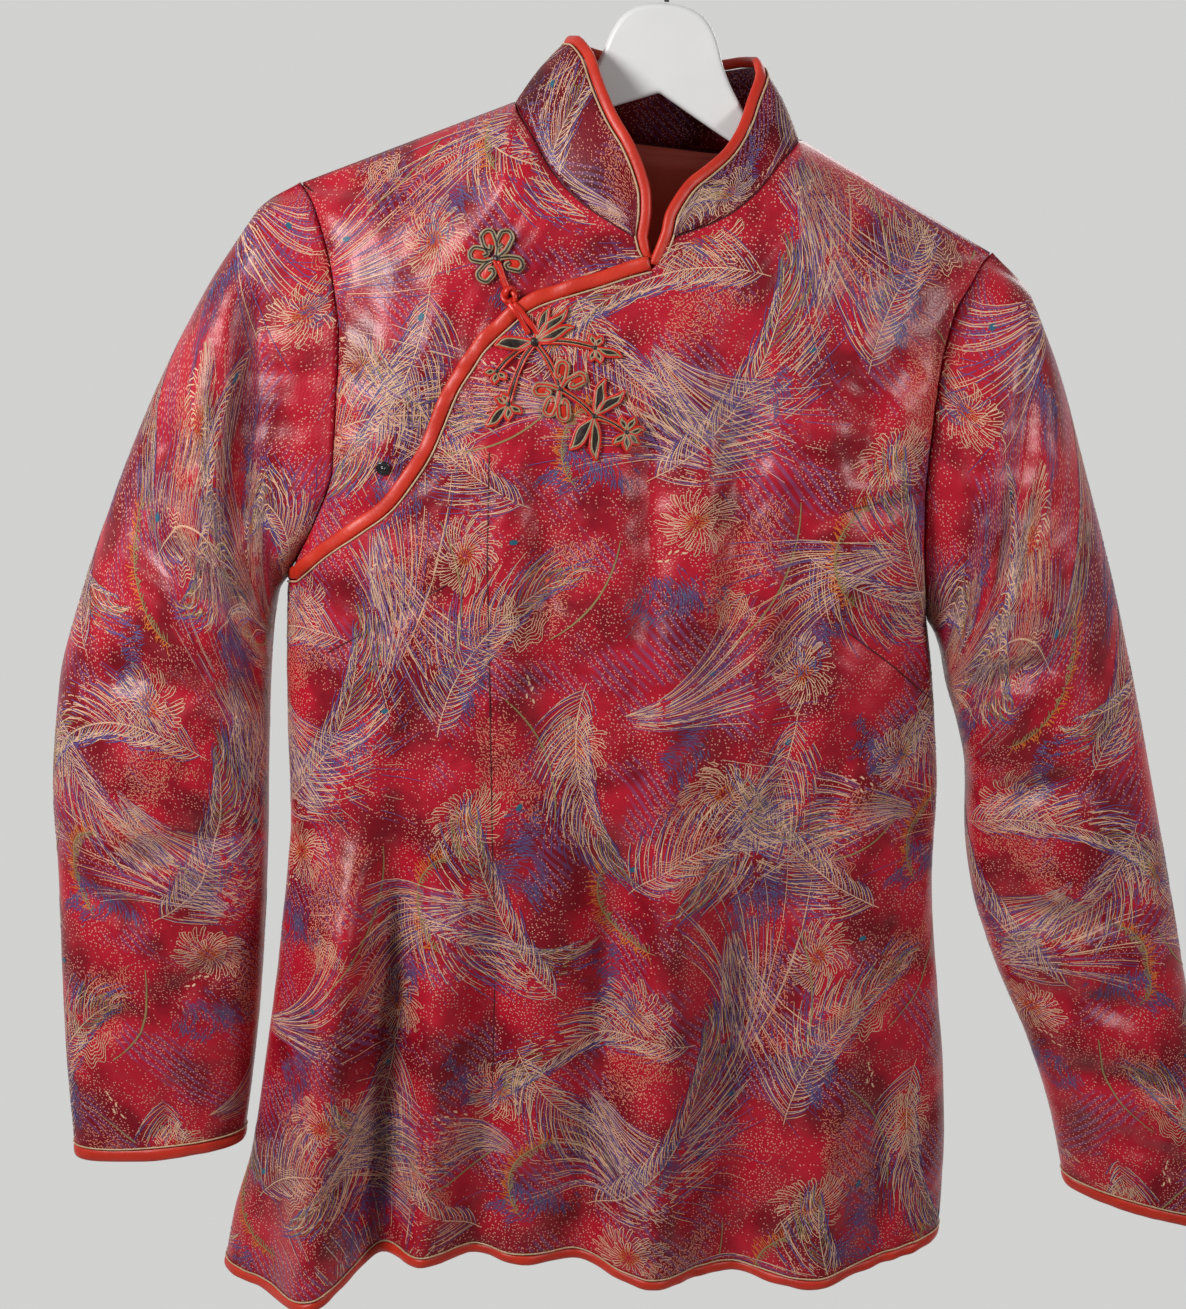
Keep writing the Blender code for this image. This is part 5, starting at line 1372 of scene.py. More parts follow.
def sleeve_grid(sign):
    """Dense outer points of a sleeve, from the armhole to the cuff, and their normals."""
    table = LEFT_SLEEVE if sign < 0 else RIGHT_SLEEVE
    around = even_count(SLEEVE_SIZE[0], closed=True)
    stations = np.arange(len(table))
    wanted = np.linspace(0, len(table) - 1, even_count(SLEEVE_SIZE[1]) - HEAD_ROWS)
    columns = [smooth(stations, column(table, number), wanted) for number in range(6)]
    rings = np.stack([sleeve_ring(row, around) for row in zip(*columns)])
    loop, body_normals = armhole_loop(sign, around)
    away = unit(-sign * np.cross(direction(loop, closed=True), body_normals))
    start = loop + away * SLEEVE_GAP + body_normals * SLEEVE_PROUD
    part = np.linspace(0.0, 1.0, HEAD_ROWS, endpoint=False)[:, None, None]
    leave = (rings[0] - start)[None]
    arrive = ((rings[1] - rings[0]) * HEAD_ROWS)[None]
    head = ((2 * part ** 3 - 3 * part ** 2 + 1) * start[None] + (part ** 3 - 2 * part ** 2 + part) * leave
            + (3 * part ** 2 - 2 * part ** 3) * rings[:1] + (part ** 3 - part ** 2) * arrive)
    points = crease_sleeve(np.concatenate((head, rings)))
    turned = np.roll(points, -1, axis=1) - np.roll(points, 1, axis=1)
    normals = unit(sign * np.cross(turned, np.gradient(points, axis=0)))
    lean = np.sum(normals[0] * away, axis=-1, keepdims=True)
    normals[0] = unit(normals[0] - np.maximum(lean, 0.0) * away)
    return np.roll(points, around // 2, axis=1), np.roll(normals, around // 2, axis=1)


def crease_sleeve(points):
    """Press the creases and the wadding's swell into a sleeve's grid, calm at both ends."""
    rows, around = points.shape[:2]
    x, z = points[..., 0], points[..., 2]
    facing = np.abs(np.sin(round_turns(around)))[None, :]
    row = np.arange(rows)[:, None] * CELL
    calm = soft_step(row / EDGE_CALM) * soft_step((row[-1] - row) / EDGE_CALM) * facing
    front = points[..., 1] < 0
    on_back = -crease_push(SLEEVE_CREASES, 1, x, z)
    push = CREASE_DEPTH * np.where(front, crease_push(SLEEVE_CREASES, -1, x, z), on_back)
    swell = np.where(front, wadding(x, z), -wadding(x, z))
    points = points.copy()
    points[..., 1] = points[..., 1] + (push + swell) * calm
    return points


def build_sleeve(sign, materials):
    name = "right" if sign < 0 else "left"
    points, normals = sleeve_grid(sign)
    item = make_shell("sleeve_cloth_" + name, points, points - WALL * normals,
                      [materials["brocade"], materials["inside"]], closed=True, flip=sign < 0)
    around = np.linalg.norm(np.diff(points, axis=1, append=points[:, :1]), axis=-1)
    across = np.concatenate((np.zeros((len(points), 1)), np.cumsum(around, axis=1)[:, :-1]), axis=1)
    down = np.linalg.norm(np.diff(points, axis=0), axis=-1).mean(axis=1)
    height = SLEEVE_START - np.concatenate(([0.0], np.cumsum(down)))
    flat = np.stack((across, np.broadcast_to(height[:, None], across.shape)), axis=-1)
    set_flat(item, flat, float(around.sum(axis=1).max()))
    attach(item, "sleeve_" + name)
    draw_on_sleeve(name, flat, points, normals, around.sum(axis=1), materials)
    outward = unit(points[-1] - points[-2])
    square = np.sum(outward * normals[-1], axis=-1, keepdims=True)
    outward = unit(outward - square * normals[-1])
    bind_edge("cuff", "_" + name, points[-1], outward, normals[-1], CUFF_BINDING, materials,
              closed=True, flip=sign > 0)


def draw_on_sleeve(name, flat, points, normals, turns, materials):
    """Brocade lines round a sleeve, with its seam under the arm."""
    closed = np.stack((turns, flat[:, 0, 1]), axis=-1)[:, None]
    flat = np.concatenate((flat, closed), axis=1)
    points = np.concatenate((points, points[:, :1]), axis=1)
    normals = np.concatenate((normals, normals[:, :1]), axis=1)
    chart = make_chart(flat, points, normals, 0.0, float(turns.max()))
    groups = repeat_over(BROCADE, (0.0, flat[:, 0, 1].min()), (float(turns.max()), SLEEVE_LINES_TOP))
    make_lines("brocade_lines_sleeve_" + name, chart, groups, anywhere, materials)


def lengthened(path, facing, outward):
    """The collar's piping, run on at both ends to where the opening's piping starts."""
    part = np.linspace(0.0, 1.0, COLLAR_RUN_STEPS + 1)[1:, None]
    ends = []
    for place, near, target in ((path[0], path[3], COLLAR_RUN[0]), (path[-1], path[-4], COLLAR_RUN[1])):
        bow = unit(place - near) * COLLAR_RUN_BOW
        ends.append(place + (np.array(target) - place) * part + bow * part * (1 - part))
    path = np.concatenate((ends[0][::-1], path, ends[1]))
    longer = [np.concatenate((np.repeat(rows[:1], COLLAR_RUN_STEPS, axis=0), rows,
                              np.repeat(rows[-1:], COLLAR_RUN_STEPS, axis=0))) for rows in (facing, outward)]
    return path, *longer


def build_collar(materials):
    left_base, left_edge = collar_side(COLLAR_LEFT, -1, COLLAR_POINTS)
    right_base, right_edge = collar_side(COLLAR_RIGHT, 1, COLLAR_POINTS)
    base = np.concatenate((left_base, right_base[::-1][1:]))
    edge = np.concatenate((left_edge, right_edge[::-1][1:]))
    along = direction(edge)
    rise = unit(edge - base)
    normals = unit(np.cross(rise, along))
    inward = unit(np.cross(along, normals))
    inward = inward * np.sign(np.sum(inward * (base - edge), axis=-1, keepdims=True))
    top = edge + inward * (COLLAR_BINDING + SEAM_GAP)
    cloth = neck_normals(base)
    away = unit(rise - np.sum(rise * cloth, axis=-1, keepdims=True) * cloth)
    foot = base + away * COLLAR_GAP + cloth * COLLAR_PROUD
    up = np.linspace(0.0, 1.0, COLLAR_HIGH)[:, None, None]
    points = foot[None] + (top - foot)[None] * up + normals[None] * COLLAR_SWELL * np.sin(math.pi * up)
    walls = np.repeat(normals[None], COLLAR_HIGH, axis=0)
    lean = np.sum(normals * away, axis=-1, keepdims=True)
    walls[0] = unit(normals - np.maximum(lean, 0.0) * away)
    # The collar's cloth takes the darker brocade, whose ground is painted shade
    item = make_shell("collar_cloth", points, points - WALL * walls,
                      [materials["collar brocade with painted shade"], materials["collar brocade with painted shade"]], flip=True)
    length = run_length(base)
    flat = np.stack(np.broadcast_arrays(length[None, :], COLLAR_START + up[:, :, 0] * COLLAR_FLAT), axis=-1)
    set_flat(item, flat)
    attach(item, "collar")
    # A dark cord sunk into the gap between the collar's foot and the body: painted shade in the neck seam
    slit = foot - away * COLLAR_GAP / 2 - walls[0] * WALL * NECK_SEAM_DEEP
    attach(make_cord_line("neck_seam_shade", slit, walls[0], NECK_SEAM, [materials["seam"]]))
    chart = make_chart(flat, points, walls, 0.0, float(length[-1]))
    groups = repeat_over(BROCADE, (0.0, COLLAR_START), (float(length[-1]), COLLAR_START + COLLAR_FLAT))
    make_lines("brocade_lines_collar", chart, groups, anywhere, materials)
    path, facing = dense_path(top, normals, BINDING_SPACING)
    _, outward = dense_path(top, -inward, BINDING_SPACING)
    path, facing, outward = lengthened(path, facing, outward)
    bind_edge("collar", "", path, outward, facing, COLLAR_BINDING, materials)


def attach(item, *nodes):
    """A piece rides on the jacket's body and stands for its solids."""
    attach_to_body(item, "root")
    if nodes:
        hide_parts(*nodes)


def arcs(start, turn, length, bend, count):
    """Curved strokes in flat cloth sizes: start points, first directions, lengths and how far each turns."""
    part = np.linspace(0.0, 1.0, count)
    angle = turn[:, None] + bend[:, None] * (part[1:] + part[:-1])[None, :] / 2
    step = (length / (count - 1))[:, None]
    across = np.cumsum(np.cos(angle) * step, axis=1)
    up = np.cumsum(np.sin(angle) * step, axis=1)
    zero = np.zeros((len(start), 1))
    moved = np.stack((np.concatenate((zero, across), axis=1), np.concatenate((zero, up), axis=1)), axis=-1)
    return start[:, None] + moved


def along_stroke(stroke, along):
    """Places on one stroke at shares of its length."""
    even = np.linspace(0.0, 1.0, len(stroke))
    return np.stack([np.interp(along, even, stroke[:, axis]) for axis in range(2)], axis=-1)


def draw_plume(size, random):
    """Curved stem with long swept barbs on both sides, pale ones over blue ones."""
    bend = random.uniform(0.7, 1.3) * random.choice((-1, 1))
    stem = arcs(np.zeros((1, 2)), np.array([-bend / 2]), np.array([size]), np.array([bend]), 20)
    groups = []
    for side in (-1, 1):
        outer = side * bend < 0
        wide = random.uniform(0.34, 0.44) if outer else random.uniform(0.16, 0.24)
        lean = random.uniform(0.75, 1.00)
        for colour, pitch, reach, width in PLUME_BARBS:
            barbs = int(size / PLUME_PITCH / pitch)
            along = np.clip(np.linspace(0.04, 0.99, barbs) + random.uniform(-0.006, 0.006, barbs), 0.0, 1.0)
            full = np.sin(math.pi * (0.14 + 0.78 * along)) ** 0.7
            turn = -bend / 2 + bend * along + side * lean * (1.15 - 0.45 * along)
            turn = turn + random.uniform(-0.08, 0.08, barbs)
            length = size * wide * reach * full * random.uniform(0.75, 1.10, barbs)
            curl = -side * (0.5 + 0.7 * along) * random.uniform(0.8, 1.2, barbs)
            strokes = arcs(along_stroke(stem[0], along), turn, length, curl, 5)
            tip = (along > 0.66) & (random.uniform(0, 1, barbs) < 0.6) & (colour == "cream")
            groups.append((colour, strokes[~tip], width))
            groups.append(("olive", strokes[tip], width))
    groups.append(("cream", stem, 1.4))
    return groups


def draw_fan(size, random):
    """Long strands that spread from one place and hook over at their ends."""
    groups = []
    bow = random.uniform(0.35, 0.75)
    for colour, count, width, reach in FAN_STRANDS:
        spread = np.linspace(-0.24, 0.24, count) + random.uniform(-0.02, 0.02, count)
        start = np.stack((random.uniform(0.0, 0.10, count) * size, spread * size * 0.16), axis=-1)
        bend = bow + spread * 1.3 + random.uniform(-0.08, 0.08, count)
        length = size * reach * random.uniform(0.60, 1.05, count)
        groups.append((colour, arcs(start, spread - bow / 2, length, bend, 12), width))
    return groups


def draw_burst(size, random):
    """Flower head of narrow looped petals in three rings, swept to one side."""
    groups = []
    flat = random.uniform(0.70, 1.0)
    sweep = random.uniform(0.4, 1.1) * random.choice((-1, 1))
    for inner, length, count, name in BURST_RINGS:
        angle = np.linspace(0, 2 * math.pi, count, endpoint=False) + random.uniform(-0.10, 0.10, count)
        reach = size * length * random.uniform(0.60, 1.25, count)
        half = 2 * math.pi * (inner + length * 0.6) * size / count * 0.36
        out = inner * size + reach[:, None] * np.array(HAIRPIN_OUT)[None, :]
        swing = angle[:, None] + sweep * (out - inner * size) / size
        aside = half * np.array(HAIRPIN_SIDE)[None, :]
        across = out * np.cos(swing) - aside * np.sin(swing)
        up = (out * np.sin(swing) + aside * np.cos(swing)) * flat
        groups.append((name, np.stack((across, up), axis=-1), 0.95))
    return groups


def scatter(size, shape, pitch, random):
    """Jittered places inside a bent, lobed patch, thinner towards its rim."""
    half_long, half_wide = size, size * shape
    across = np.arange(-half_long, half_long, pitch)
    up = np.arange(-half_wide * 1.6, half_wide * 1.6, pitch)
    places = np.stack(np.meshgrid(across, up), axis=-1).reshape(-1, 2)
    places = places + random.uniform(-0.35, 0.35, places.shape) * pitch
    bent = places[:, 1] - 0.35 * half_wide * np.cos(places[:, 0] / half_long * 2.4)
    angle = np.arctan2(bent / half_wide, places[:, 0] / half_long)
    rim = 1.0 + 0.16 * np.sin(angle * 5.0 + random.uniform(0, 6)) + 0.10 * np.sin(angle * 11.0)
    far = np.sqrt((places[:, 0] / half_long) ** 2 + (bent / half_wide) ** 2) / rim
    return places[far + random.uniform(0.0, 0.30, len(far)) < 1.0]


def draw_rice(size, random):
    """Patch filled with short curled strokes, with a stem along one side."""
    places = scatter(size, 0.40, RICE_PITCH, random)
    count = len(places)
    flow = 0.9 * np.sin(places[:, 0] / size * 3.0) + random.uniform(-0.5, 0.5, count)
    lengths = random.uniform(0.8, 1.35, count) * RICE_PITCH
    grains = arcs(places, flow, lengths, random.uniform(-2.2, 2.2, count), 3)
    groups = [("salmon", grains, 1.0)]
    if random.uniform() < 0.6:
        stem = arcs(np.array([[-size, -size * 0.30]]), np.array([-0.45]), np.array([size * 2.1]),
                    np.array([0.9]), 14)
        groups.append(("olive", stem, 2.2))
    return groups


def draw_mist(size, random):
    """Soft-edged cloud of fine blue strokes."""
    places = scatter(size, 0.42, MIST_PITCH, random)
    count = len(places)
    drift = 0.7 * np.sin(places[:, 0] / size * 2.0 + places[:, 1] / size * 3.0)
    clump = np.sin(places[:, 0] / size * 7.0) * np.sin(places[:, 1] / size * 9.0 + 1.0)
    keep = random.uniform(-0.9, 0.9, count) < clump + 0.10
    strokes = arcs(places[keep], (1.2 + drift + random.uniform(-0.25, 0.25, count))[keep],
                   random.uniform(0.0025, 0.0050, keep.sum()), random.uniform(-0.4, 0.4, keep.sum()), 2)
    cool = random.uniform(0.0, 1.0, len(strokes)) < 0.55
    return [("blue", strokes[cool], 1.15), ("slate", strokes[~cool], 1.15)]


def draw_sprig(size, random):
    """Hooked stem with short bristles on its outer side and shorter ones on its inner side."""
    stem = arcs(np.zeros((1, 2)), np.array([1.6]), np.array([size]), np.array([-2.3]), 16)
    along = np.linspace(0.05, 0.95, SPRIG_BRISTLES)
    turn = 1.6 - 2.3 * along
    place = along_stroke(stem[0], along)
    groups = [("olive", stem, 1.8)]
    for side, reach, colour, width in ((1, (0.05, 0.11), "orange", 1.3), (-1, (0.03, 0.07), "olive", 1.2)):
        lean = turn + side * random.uniform(0.7, 1.9, SPRIG_BRISTLES)
        length = size * random.uniform(*reach, SPRIG_BRISTLES)
        bristles = arcs(place, lean, length, random.uniform(-0.5, 0.5, SPRIG_BRISTLES), 3)
        groups.append((colour, bristles, width))
    return groups


def draw_petal(size, random):
    """Frilled petal drawn as nested wavy lines, open at its foot."""
    strokes = []
    for share in np.linspace(0.34, 1.0, 6):
        angle = np.linspace(-2.0, 2.0, 26)
        frill = 0.13 * np.sin(angle * 7.0 + share * 1.2) * share
        radius = size * share * (1 + frill)
        strokes.append(np.stack((radius * np.cos(angle) * 1.15, radius * 0.80 * np.sin(angle)), axis=-1))
    return [("salmon" if random.uniform() < 0.4 else "cream", np.array(strokes), 0.85)]


def draw_seeds(size, random):
    """A few small pale seeds in a loose row."""
    count = 5
    start = np.stack((np.linspace(0, size, count), random.uniform(-0.3, 0.3, count) * size), axis=-1)
    return [("cream", arcs(start, random.uniform(-0.6, 0.6, count), np.full(count, 0.0030),
                           np.zeros(count), 5), 2.4)]


def draw_lozenge(size, random):
    strokes = arcs(np.zeros((1, 2)), np.array([0.0]), np.array([size]), np.array([0.0]), 5)
    return [("teal", strokes, 6.0)]


DRAWERS = {"plume": draw_plume, "fan": draw_fan, "burst": draw_burst, "rice": draw_rice, "mist": draw_mist,
           "sprig": draw_sprig, "petal": draw_petal, "lozenge": draw_lozenge, "seeds": draw_seeds}


def draw_repeat():
    """One repeat of the brocade as strokes by colour: arrays of points, and thread widths."""
    random = np.random.default_rng(BROCADE_SEED)
    groups = []
    for kind, places in LAYOUT:
        for across, up, degrees, size in places:
            turn = math.radians(degrees)
            spin = np.array(((math.cos(turn), math.sin(turn)), (-math.sin(turn), math.cos(turn))))
            for name, strokes, width in DRAWERS[kind](size, random):
                if len(strokes):
                    groups.append((name, strokes @ spin + np.array((across, up)), width * THREAD))
    return groups


def repeat_over(groups, low, high):
    """The repeat copied over a flat area, from its low corner to its high corner."""
    first = int(math.floor(low[0] / REPEAT_WIDE)) - 1
    last = int(math.ceil(high[0] / REPEAT_WIDE)) + 1
    copies = []
    for number in range(first, last):
        drop = REPEAT_HIGH / 2 * (number % 2)
        bottom = int(math.floor((low[1] - drop) / REPEAT_HIGH)) - 1
        top = int(math.ceil((high[1] - drop) / REPEAT_HIGH)) + 1
        for row in range(bottom, top):
            move = np.array((number * REPEAT_WIDE, row * REPEAT_HIGH + drop))
            for name, strokes, width in groups:
                copies.append((name, strokes + move, width))
    return copies


def ribbon_edges(strokes, width):
    """Left and right edges of tapered strokes."""
    count = strokes.shape[1]
    along = np.gradient(strokes, axis=1)
    along = along / np.maximum(np.linalg.norm(along, axis=-1, keepdims=True), 1e-9)
    side = np.stack((-along[..., 1], along[..., 0]), axis=-1)
    taper = 0.30 + 0.70 * np.sin(math.pi * np.linspace(0.06, 0.94, count)) ** 0.6
    offset = side * (width / 2 * taper)[None, :, None]
    return strokes - offset, strokes + offset


def make_lines(name, chart, groups, inside, materials):
    """Ribbons for all strokes that fall inside a panel, as one object with a slot for each colour."""
    names = sorted(set(group[0] for group in groups))
    points, faces, slots, total = [], [], [], 0
    for colour, strokes, width in groups:
        near = chart["inside"](strokes[:, strokes.shape[1] // 2])
        strokes = strokes[near]
        if not len(strokes):
            continue
        left, right = ribbon_edges(strokes, width)
        both = np.stack((left, right), axis=2)
        placed, good = chart["place"](both)
        good = good & inside(placed)
        good = good.all(axis=2)
        quads = good[:, 1:] & good[:, :-1]
        stroke_count, count = strokes.shape[:2]
        index = total + np.arange(stroke_count * count * 2).reshape(stroke_count, count, 2)
        corners = (index[:, :-1, 0], index[:, 1:, 0], index[:, 1:, 1], index[:, :-1, 1])
        cells = np.stack(corners, axis=-1)[quads]
        points.append(placed.reshape(-1, 3))
        faces.append(cells)
        slots.append(np.full(len(cells), names.index(colour)))
        total += stroke_count * count * 2
    faces = np.concatenate(faces)
    points = np.concatenate(points)
    used = np.unique(faces)
    order = np.zeros(len(points), np.int64)
    order[used] = np.arange(len(used))
    item = mesh_from_quads(name, points[used], order[faces], [materials[colour] for colour in names])
    item.data.polygons.foreach_set("material_index", np.concatenate(slots).astype(np.int32))
    attach(item)


def mesh_from_quads(name, points, quads, materials):
    """Mesh made straight from arrays, which is quick for many small faces."""
    mesh = bpy.data.meshes.new(name)
    mesh.vertices.add(len(points))
    mesh.vertices.foreach_set("co", points.astype(np.float32).ravel())
    mesh.loops.add(quads.size)
    mesh.loops.foreach_set("vertex_index", quads.astype(np.int32).ravel())
    mesh.polygons.add(len(quads))
    mesh.polygons.foreach_set("loop_start", np.arange(len(quads), dtype=np.int32) * 4)
    mesh.polygons.foreach_set("use_smooth", np.ones(len(quads), bool))
    mesh.update(calc_edges=True)
    for material in materials:
        mesh.materials.append(material)
    return link_item(name, mesh)


def make_chart(flat, points, normals, low, high):
    """Chart from a panel's own grid: flat coordinates to lifted points on the cloth.

    Rows of the grid run up the cloth; on each row the flat across coordinate rises along the columns."""
    up = flat[:, 0, 1]
    order = np.argsort(up)
    up, across = up[order], flat[order, :, 0]
    even = np.linspace(low, high, CHART_ACROSS)
    index = np.arange(across.shape[1])
    lookup = np.stack([np.interp(even, row, index) for row in across])
    known = np.stack([(even >= row[0]) & (even <= row[-1]) for row in across]).astype(float)
    lifted = (points + normals * LINE_LIFT)[order]
    rows = np.arange(len(up))

    def place(wanted):
        row = np.interp(wanted[..., 1], up, rows, left=-1.0, right=-1.0)
        covered = row >= 0
        step = (wanted[..., 0] - low) / (high - low) * (CHART_ACROSS - 1)
        row = np.maximum(row, 0.0)
        good = covered & (step >= 0) & (step <= CHART_ACROSS - 1) & (bilinear(known, row, step) > 0.999)
        return bilinear(lifted, row, bilinear(lookup, row, step)), good

    def inside(wanted):
        across_in = (wanted[..., 0] > low - CHART_ROOM) & (wanted[..., 0] < high + CHART_ROOM)
        return across_in & (wanted[..., 1] > up[0] - CHART_ROOM) & (wanted[..., 1] < up[-1] + CHART_ROOM)

    return {"place": place, "inside": inside}


def body_chart(side, tucked=False):
    """Chart of one side of the body, on rows of even height."""
    z = np.linspace(CHART_LOW + 0.02, CHART_HIGH - 0.005, BODY_ROWS)
    turn = np.linspace(-BODY_TURN, BODY_TURN, BODY_COLUMNS)
    turns, heights = np.meshgrid(turn, z)
    points = cloth_point(side, turns, heights, tucked)
    normals = cloth_normal(side, turns, heights, tucked)
    flat = np.stack((flat_of_body(side, turns, heights), heights), axis=-1)
    return make_chart(flat, points, normals, CHART_LEFT, CHART_RIGHT)


def below_top(side, points, margin):
    """True where points lie under the shoulder line and neckline."""
    top_z, _ = top_line(side, points[..., 0])
    return points[..., 2] < top_z - margin


def above_hem(side, points, margin):
    return points[..., 2] > read_table(HEM, 1 if side < 0 else 2, points[..., 0]) + HEM_BINDING + margin


def in_front(points):
    """True on the main front, clear of its bindings."""
    x, z = points[..., 0], points[..., 2]
    under = (opening_distance(x, z) < -OPENING_BINDING / 2 - EDGE_MARGIN) | (x > FRONT_RIGHT)
    return under & below_top(-1, points, NECK_MARGIN) & above_hem(-1, points, EDGE_MARGIN)


def in_underlap(points):
    """True on the underlap where the front leaves it free."""
    x, z = points[..., 0], points[..., 2]
    over = (opening_distance(x, z) > OPENING_BINDING / 2 - EDGE_MARGIN) & (x < UNDERLAP_RIGHT)
    return over & below_top(-1, points, NECK_MARGIN)


def in_back(points):
    return below_top(1, points, NECK_MARGIN) & above_hem(1, points, EDGE_MARGIN)


def anywhere(points):
    return np.ones(points.shape[:-1], bool)


def on_front(x, z, lift, tucked):
    """Points lifted off the front cloth at x and height."""
    turn = turn_of(x, z)
    return cloth_point(-1, turn, z, tucked) + lift[..., None] * cloth_normal(-1, turn, z, tucked)


def flat_side(path):
    """Sideways directions of a path drawn in x and height."""
    along = direction(path)
    return np.stack((-along[:, 1], along[:, 0]), axis=-1)


def laid_strip(path, half_width, half_height, lift, around, tucked):
    """Oval strip laid on the front along a path in x and height, as points and faces."""
    angle = round_turns(around)
    place = path[:, None] + flat_side(path)[:, None] * (half_width * np.cos(angle))[None, :, None]
    height = np.broadcast_to(lift + half_height * np.sin(angle)[None, :], place.shape[:2])
    points = on_front(place[..., 0], place[..., 1], height, tucked)
    return points.reshape(-1, 3), tube_faces(len(path), around)


def laid_tube(path, radius, lift, tucked):
    """Round cord laid on the front."""
    return laid_strip(path, radius, radius, lift, FROG_AROUND, tucked)


def laid_fill(right, left, lift, dome, tucked):
    """Domed filling between the two sides of a petal."""
    part = np.linspace(0.0, 1.0, FILL_POINTS)[None, :, None]
    place = right[:, None] * (1 - part) + left[:, None] * part
    height = np.broadcast_to(lift + dome * np.sin(math.pi * part[..., 0]), place.shape[:2])
    points = on_front(place[..., 0], place[..., 1], height, tucked)
    return points.reshape(-1, 3), grid_faces(len(right), FILL_POINTS, 0).tolist()


def petal_axis(centre, tip):
    """Centre, unit axis, unit sideways direction and length of a petal."""
    centre, tip = np.array(centre), np.array(tip)
    length = np.linalg.norm(tip - centre)
    axis = (tip - centre) / length
    return centre, axis, np.array((-axis[1], axis[0])), length


def petal_sides(centre, heart, tip, width, sway, inset):
    """Right and left side of a curved petal, moved in from its outline."""
    centre, axis, across, length = petal_axis(centre, tip)
    part = np.linspace(0.0, 1.0, PETAL_POINTS)
    start = heart / length
    along = start + (1 - inset / length - start) * part
    shape = np.sin(math.pi * part ** 1.15) ** 0.60
    half = np.maximum(width / 2 * (0.22 * (1 - part) + shape) - inset, 0.00005)
    bend = sway * length * np.sin(math.pi * 2 * part) * part
    middle = centre + axis * (length * along)[:, None] + across * bend[:, None]
    return middle - across * half[:, None], middle + across * half[:, None]


class Cords:
    """Cord pieces gathered by finish, and made into one object for each."""

    def __init__(self, name):
        self.name = name
        self.groups = {}

    def add(self, finish, made):
        self.groups.setdefault(finish, []).append(made)

    def build(self, materials, *nodes):
        for finish, parts in self.groups.items():
            name = self.name + "_" + finish.replace(" ", "_")
            attach(make_object(name, *joined(parts), [materials[finish]]), *nodes)


def add_petal(cords, centre, tip, width, sway, style, tucked):
    """One petal: an outer cord, a thin line inside it and a filling."""
    shape = centre, PETAL_START, tip, width, sway
    outer, line, fill = style
    cord_line = outer, 1, FROG_CORD, FROG_CORD
    thread_line = line, 2.3, FROG_THREAD, FROG_CORD * 1.5
    for finish, inset, radius, lift in (cord_line, thread_line):
        right, left = petal_sides(*shape, FROG_CORD * inset)
        cords.add(finish, laid_tube(np.concatenate((right, left[::-1])), radius, FROG_LIFT + lift, tucked))
    right, left = petal_sides(*shape, FROG_CORD * 1.6)
    cords.add(fill, laid_fill(right, left, FROG_LIFT + FROG_CORD * 0.8, PETAL_DOME, tucked))


def add_loop(cords, centre, tip, width, hook, style, tucked):
    """One open looped petal that curls back on itself."""
    outer, line, fill = style
    centre, axis, across, length = petal_axis(centre, tip)
    out = np.array(LOOP_OUT) * length
    aside = np.array(LOOP_SIDE) * width * hook
    knots = np.arange(len(out))
    fine = np.linspace(0, len(out) - 1, LOOP_POINTS)
    out, aside = smooth(knots, out, fine), smooth(knots, aside, fine)
    path = centre + axis * out[:, None] + across * aside[:, None]
    side = flat_side(path)
    for offset in (-1, 1):
        strand = path + side * offset * LOOP_STRAND
        cords.add(outer, laid_tube(strand, LOOP_STRAND, FROG_LIFT + LOOP_STRAND, tucked))
    cords.add(line, laid_tube(path, FROG_THREAD, FROG_LIFT + LOOP_STRAND * 1.7, tucked))
    inner = centre + (path - centre) * LOOP_INNER
    half = len(inner) // 2
    cords.add(fill, laid_fill(inner[:half], inner[::-1][:half], FROG_LIFT * 0.7, LOOP_DOME, tucked))


def add_stem(cords, start, end, bow, tucked):
    """Flat stem of red, cream and black strands side by side."""
    start, end = np.array(start), np.array(end)
    along = np.linspace(0.0, 1.0, STEM_POINTS)[:, None]
    run = end - start
    across = np.array((-run[1], run[0]))
    path = start + run * along + across * bow * np.sin(math.pi * along)
    side = flat_side(path)
    for offset, radius, finish in STEM_STRANDS:
        lift = FROG_LIFT + STEM_LIFT + radius * 0.4
        cords.add(finish, laid_tube(path + side * offset, radius, lift, tucked))


def add_heart(cords, centre, radius, finish, tucked):
    """Small domed heart of a flower."""
    angle = round_turns(HEART_AROUND)
    rings = []
    for share, rise in HEART_PROFILE:
        place = np.array(centre) + radius * share * np.stack((np.cos(angle), np.sin(angle)), axis=-1)
        lift = np.full(len(angle), FROG_LIFT + HEART_LIFT + radius * 0.7 * rise)
        rings.append(on_front(place[:, 0], place[:, 1], lift, tucked))
    faces = grid_faces(len(rings), HEART_AROUND, 0, True).tolist()
    top = (len(rings) - 1) * HEART_AROUND
    faces.append(tuple(range(top, top + HEART_AROUND)))
    cords.add(finish, (np.concatenate(rings), faces))


def build_flower(materials):
    """Upper frog: a flower of five open loops in olive cord."""
    cords = Cords("flower")
    for _, x, z, _, heart, petals in FLOWER:
        for number, (tip_x, tip_z, width) in enumerate(petals):
            hook = 1 if number % 2 else -1
            add_loop(cords, (x, z), (tip_x, tip_z), width * FLOWER_WIDE, hook, FLOWER_STYLE, True)
        add_heart(cords, (x, z), heart, "cord black", True)
    cords.build(materials, "frog_flower")


